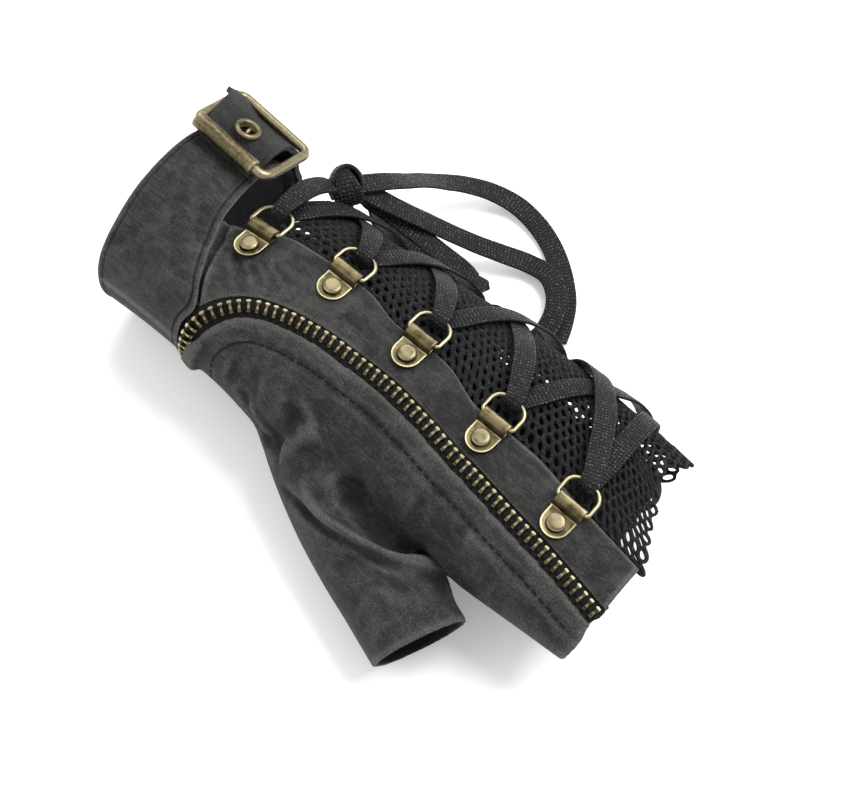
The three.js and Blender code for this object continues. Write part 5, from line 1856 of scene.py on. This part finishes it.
class GloveColours(bpy.types.PropertyGroup):
    """Colours of the leather, lace and brass."""
    leather_dark: colour("Leather, dark", "Dark patches of the leather", (0.0085, 0.0085, 0.0087))
    leather_light: colour("Leather, light", "Rubbed patches of the leather", (0.064, 0.0635, 0.0585))
    # Ridges take this colour for wear and a painted highlight.
    leather_rub_and_highlight: colour("Leather, ridges", "Worn ridges of the leather", (0.125, 0.124, 0.117))
    lace: colour("Lace", "Raised threads of the lace", (0.0115, 0.0115, 0.0115))
    # Hollows between threads take this colour as painted shade.
    lace_hollow_shade: colour("Lace, hollows", "Hollows between the threads", (0.0012, 0.0012, 0.0012))
    brass: colour("Brass", "Open faces of the brass", (0.175, 0.146, 0.078))
    # Edges take this colour for wear and a painted highlight.
    brass_edge_wear_and_highlight: colour("Brass, edges", "Worn edges of the brass", (0.6, 0.53, 0.34))
    brass_dark: colour("Brass, tarnish", "Tarnished patches", (0.062, 0.048, 0.024))
    # Hollows take this colour for brown patina and painted shade.
    brass_hollow_patina_and_shade: colour("Brass, hollows", "Hollows of the brass", (0.022, 0.016, 0.008))


class Maker:
    """What the piece operators share: each runs its makers with the scene's sizes."""
    bl_options = {"REGISTER", "UNDO"}

    def execute(self, context):
        for maker in self.makers:
            maker(context.scene.glove_sizes)
        return {"FINISHED"}


class GLOVE_OT_stage(bpy.types.Operator):
    """Camera, lights and floor"""
    bl_idname = "glove.stage"
    bl_label = "Stage"

    def execute(self, context):
        make_camera()
        make_stage()
        return {"FINISHED"}


class GLOVE_OT_bow(Maker, bpy.types.Operator):
    """Loose ends and loop of the lace"""
    bl_idname = "glove.bow"
    bl_label = "Bow"
    makers = (make_bow,)


class GLOVE_OT_lacing(Maker, bpy.types.Operator):
    """Lace through the rings, and its knot"""
    bl_idname = "glove.lacing"
    bl_label = "Lacing"
    makers = (make_lace, make_knot)


class GLOVE_OT_cuff(Maker, bpy.types.Operator):
    """Leather band round the wrist"""
    bl_idname = "glove.cuff"
    bl_label = "Cuff"
    makers = (make_cuff,)


class GLOVE_OT_body(Maker, bpy.types.Operator):
    """Palm and thumb sleeve"""
    bl_idname = "glove.body"
    bl_label = "Palm and thumb"
    makers = (make_body,)


class GLOVE_OT_panels(Maker, bpy.types.Operator):
    """Panels beside the net"""
    bl_idname = "glove.panels"
    bl_label = "Panels"
    makers = (make_side_panel, make_far_panel)


class GLOVE_OT_stitches(Maker, bpy.types.Operator):
    """Rows of stitches"""
    bl_idname = "glove.stitches"
    bl_label = "Stitches"
    makers = (make_stitches,)


class GLOVE_OT_net(Maker, bpy.types.Operator):
    """Net back and the bands between the fingers"""
    bl_idname = "glove.net"
    bl_label = "Net"
    makers = (make_net, make_webs)


class GLOVE_OT_zipper(Maker, bpy.types.Operator):
    """Zipper tape and teeth"""
    bl_idname = "glove.zipper"
    bl_label = "Zipper"
    makers = (make_teeth, make_tape)


class GLOVE_OT_plates(Maker, bpy.types.Operator):
    """Lace plates, caps and rings"""
    bl_idname = "glove.plates"
    bl_label = "Lace plates"
    makers = (make_plates,)


class GLOVE_OT_buckle(Maker, bpy.types.Operator):
    """Buckle, strap and eyelet"""
    bl_idname = "glove.buckle"
    bl_label = "Buckle"
    makers = (make_buckle, make_strap, make_eyelet)


ORDER = ("stage", "bow", "lacing", "cuff", "body", "panels", "stitches", "net", "zipper", "plates", "buckle")


class GLOVE_PT_panel(bpy.types.Panel):
    """Buttons for the pieces"""
    bl_idname = "GLOVE_PT_panel"
    bl_label = "Glove"
    bl_space_type = "VIEW_3D"
    bl_region_type = "UI"
    bl_category = "Glove"

    def draw(self, context):
        for group in (context.scene.glove_sizes, context.scene.glove_colours):
            for name in group.__annotations__:
                self.layout.prop(group, name)
        for name in ORDER:
            self.layout.operator(f"glove.{name}")


CLASSES = (GloveSizes, GloveColours, GLOVE_OT_stage, GLOVE_OT_bow, GLOVE_OT_lacing, GLOVE_OT_cuff,
           GLOVE_OT_body, GLOVE_OT_panels, GLOVE_OT_stitches, GLOVE_OT_net, GLOVE_OT_zipper,
           GLOVE_OT_plates, GLOVE_OT_buckle, GLOVE_PT_panel)


def register():
    for found in CLASSES:
        bpy.utils.register_class(found)
    bpy.types.Scene.glove_sizes = bpy.props.PointerProperty(type=GloveSizes)
    bpy.types.Scene.glove_colours = bpy.props.PointerProperty(type=GloveColours)


def unregister():
    del bpy.types.Scene.glove_sizes
    del bpy.types.Scene.glove_colours
    for found in reversed(CLASSES):
        bpy.utils.unregister_class(found)


def main():
    register()
    for name in ORDER:
        getattr(bpy.ops.glove, name)()


if __name__ == "__main__":
    main()
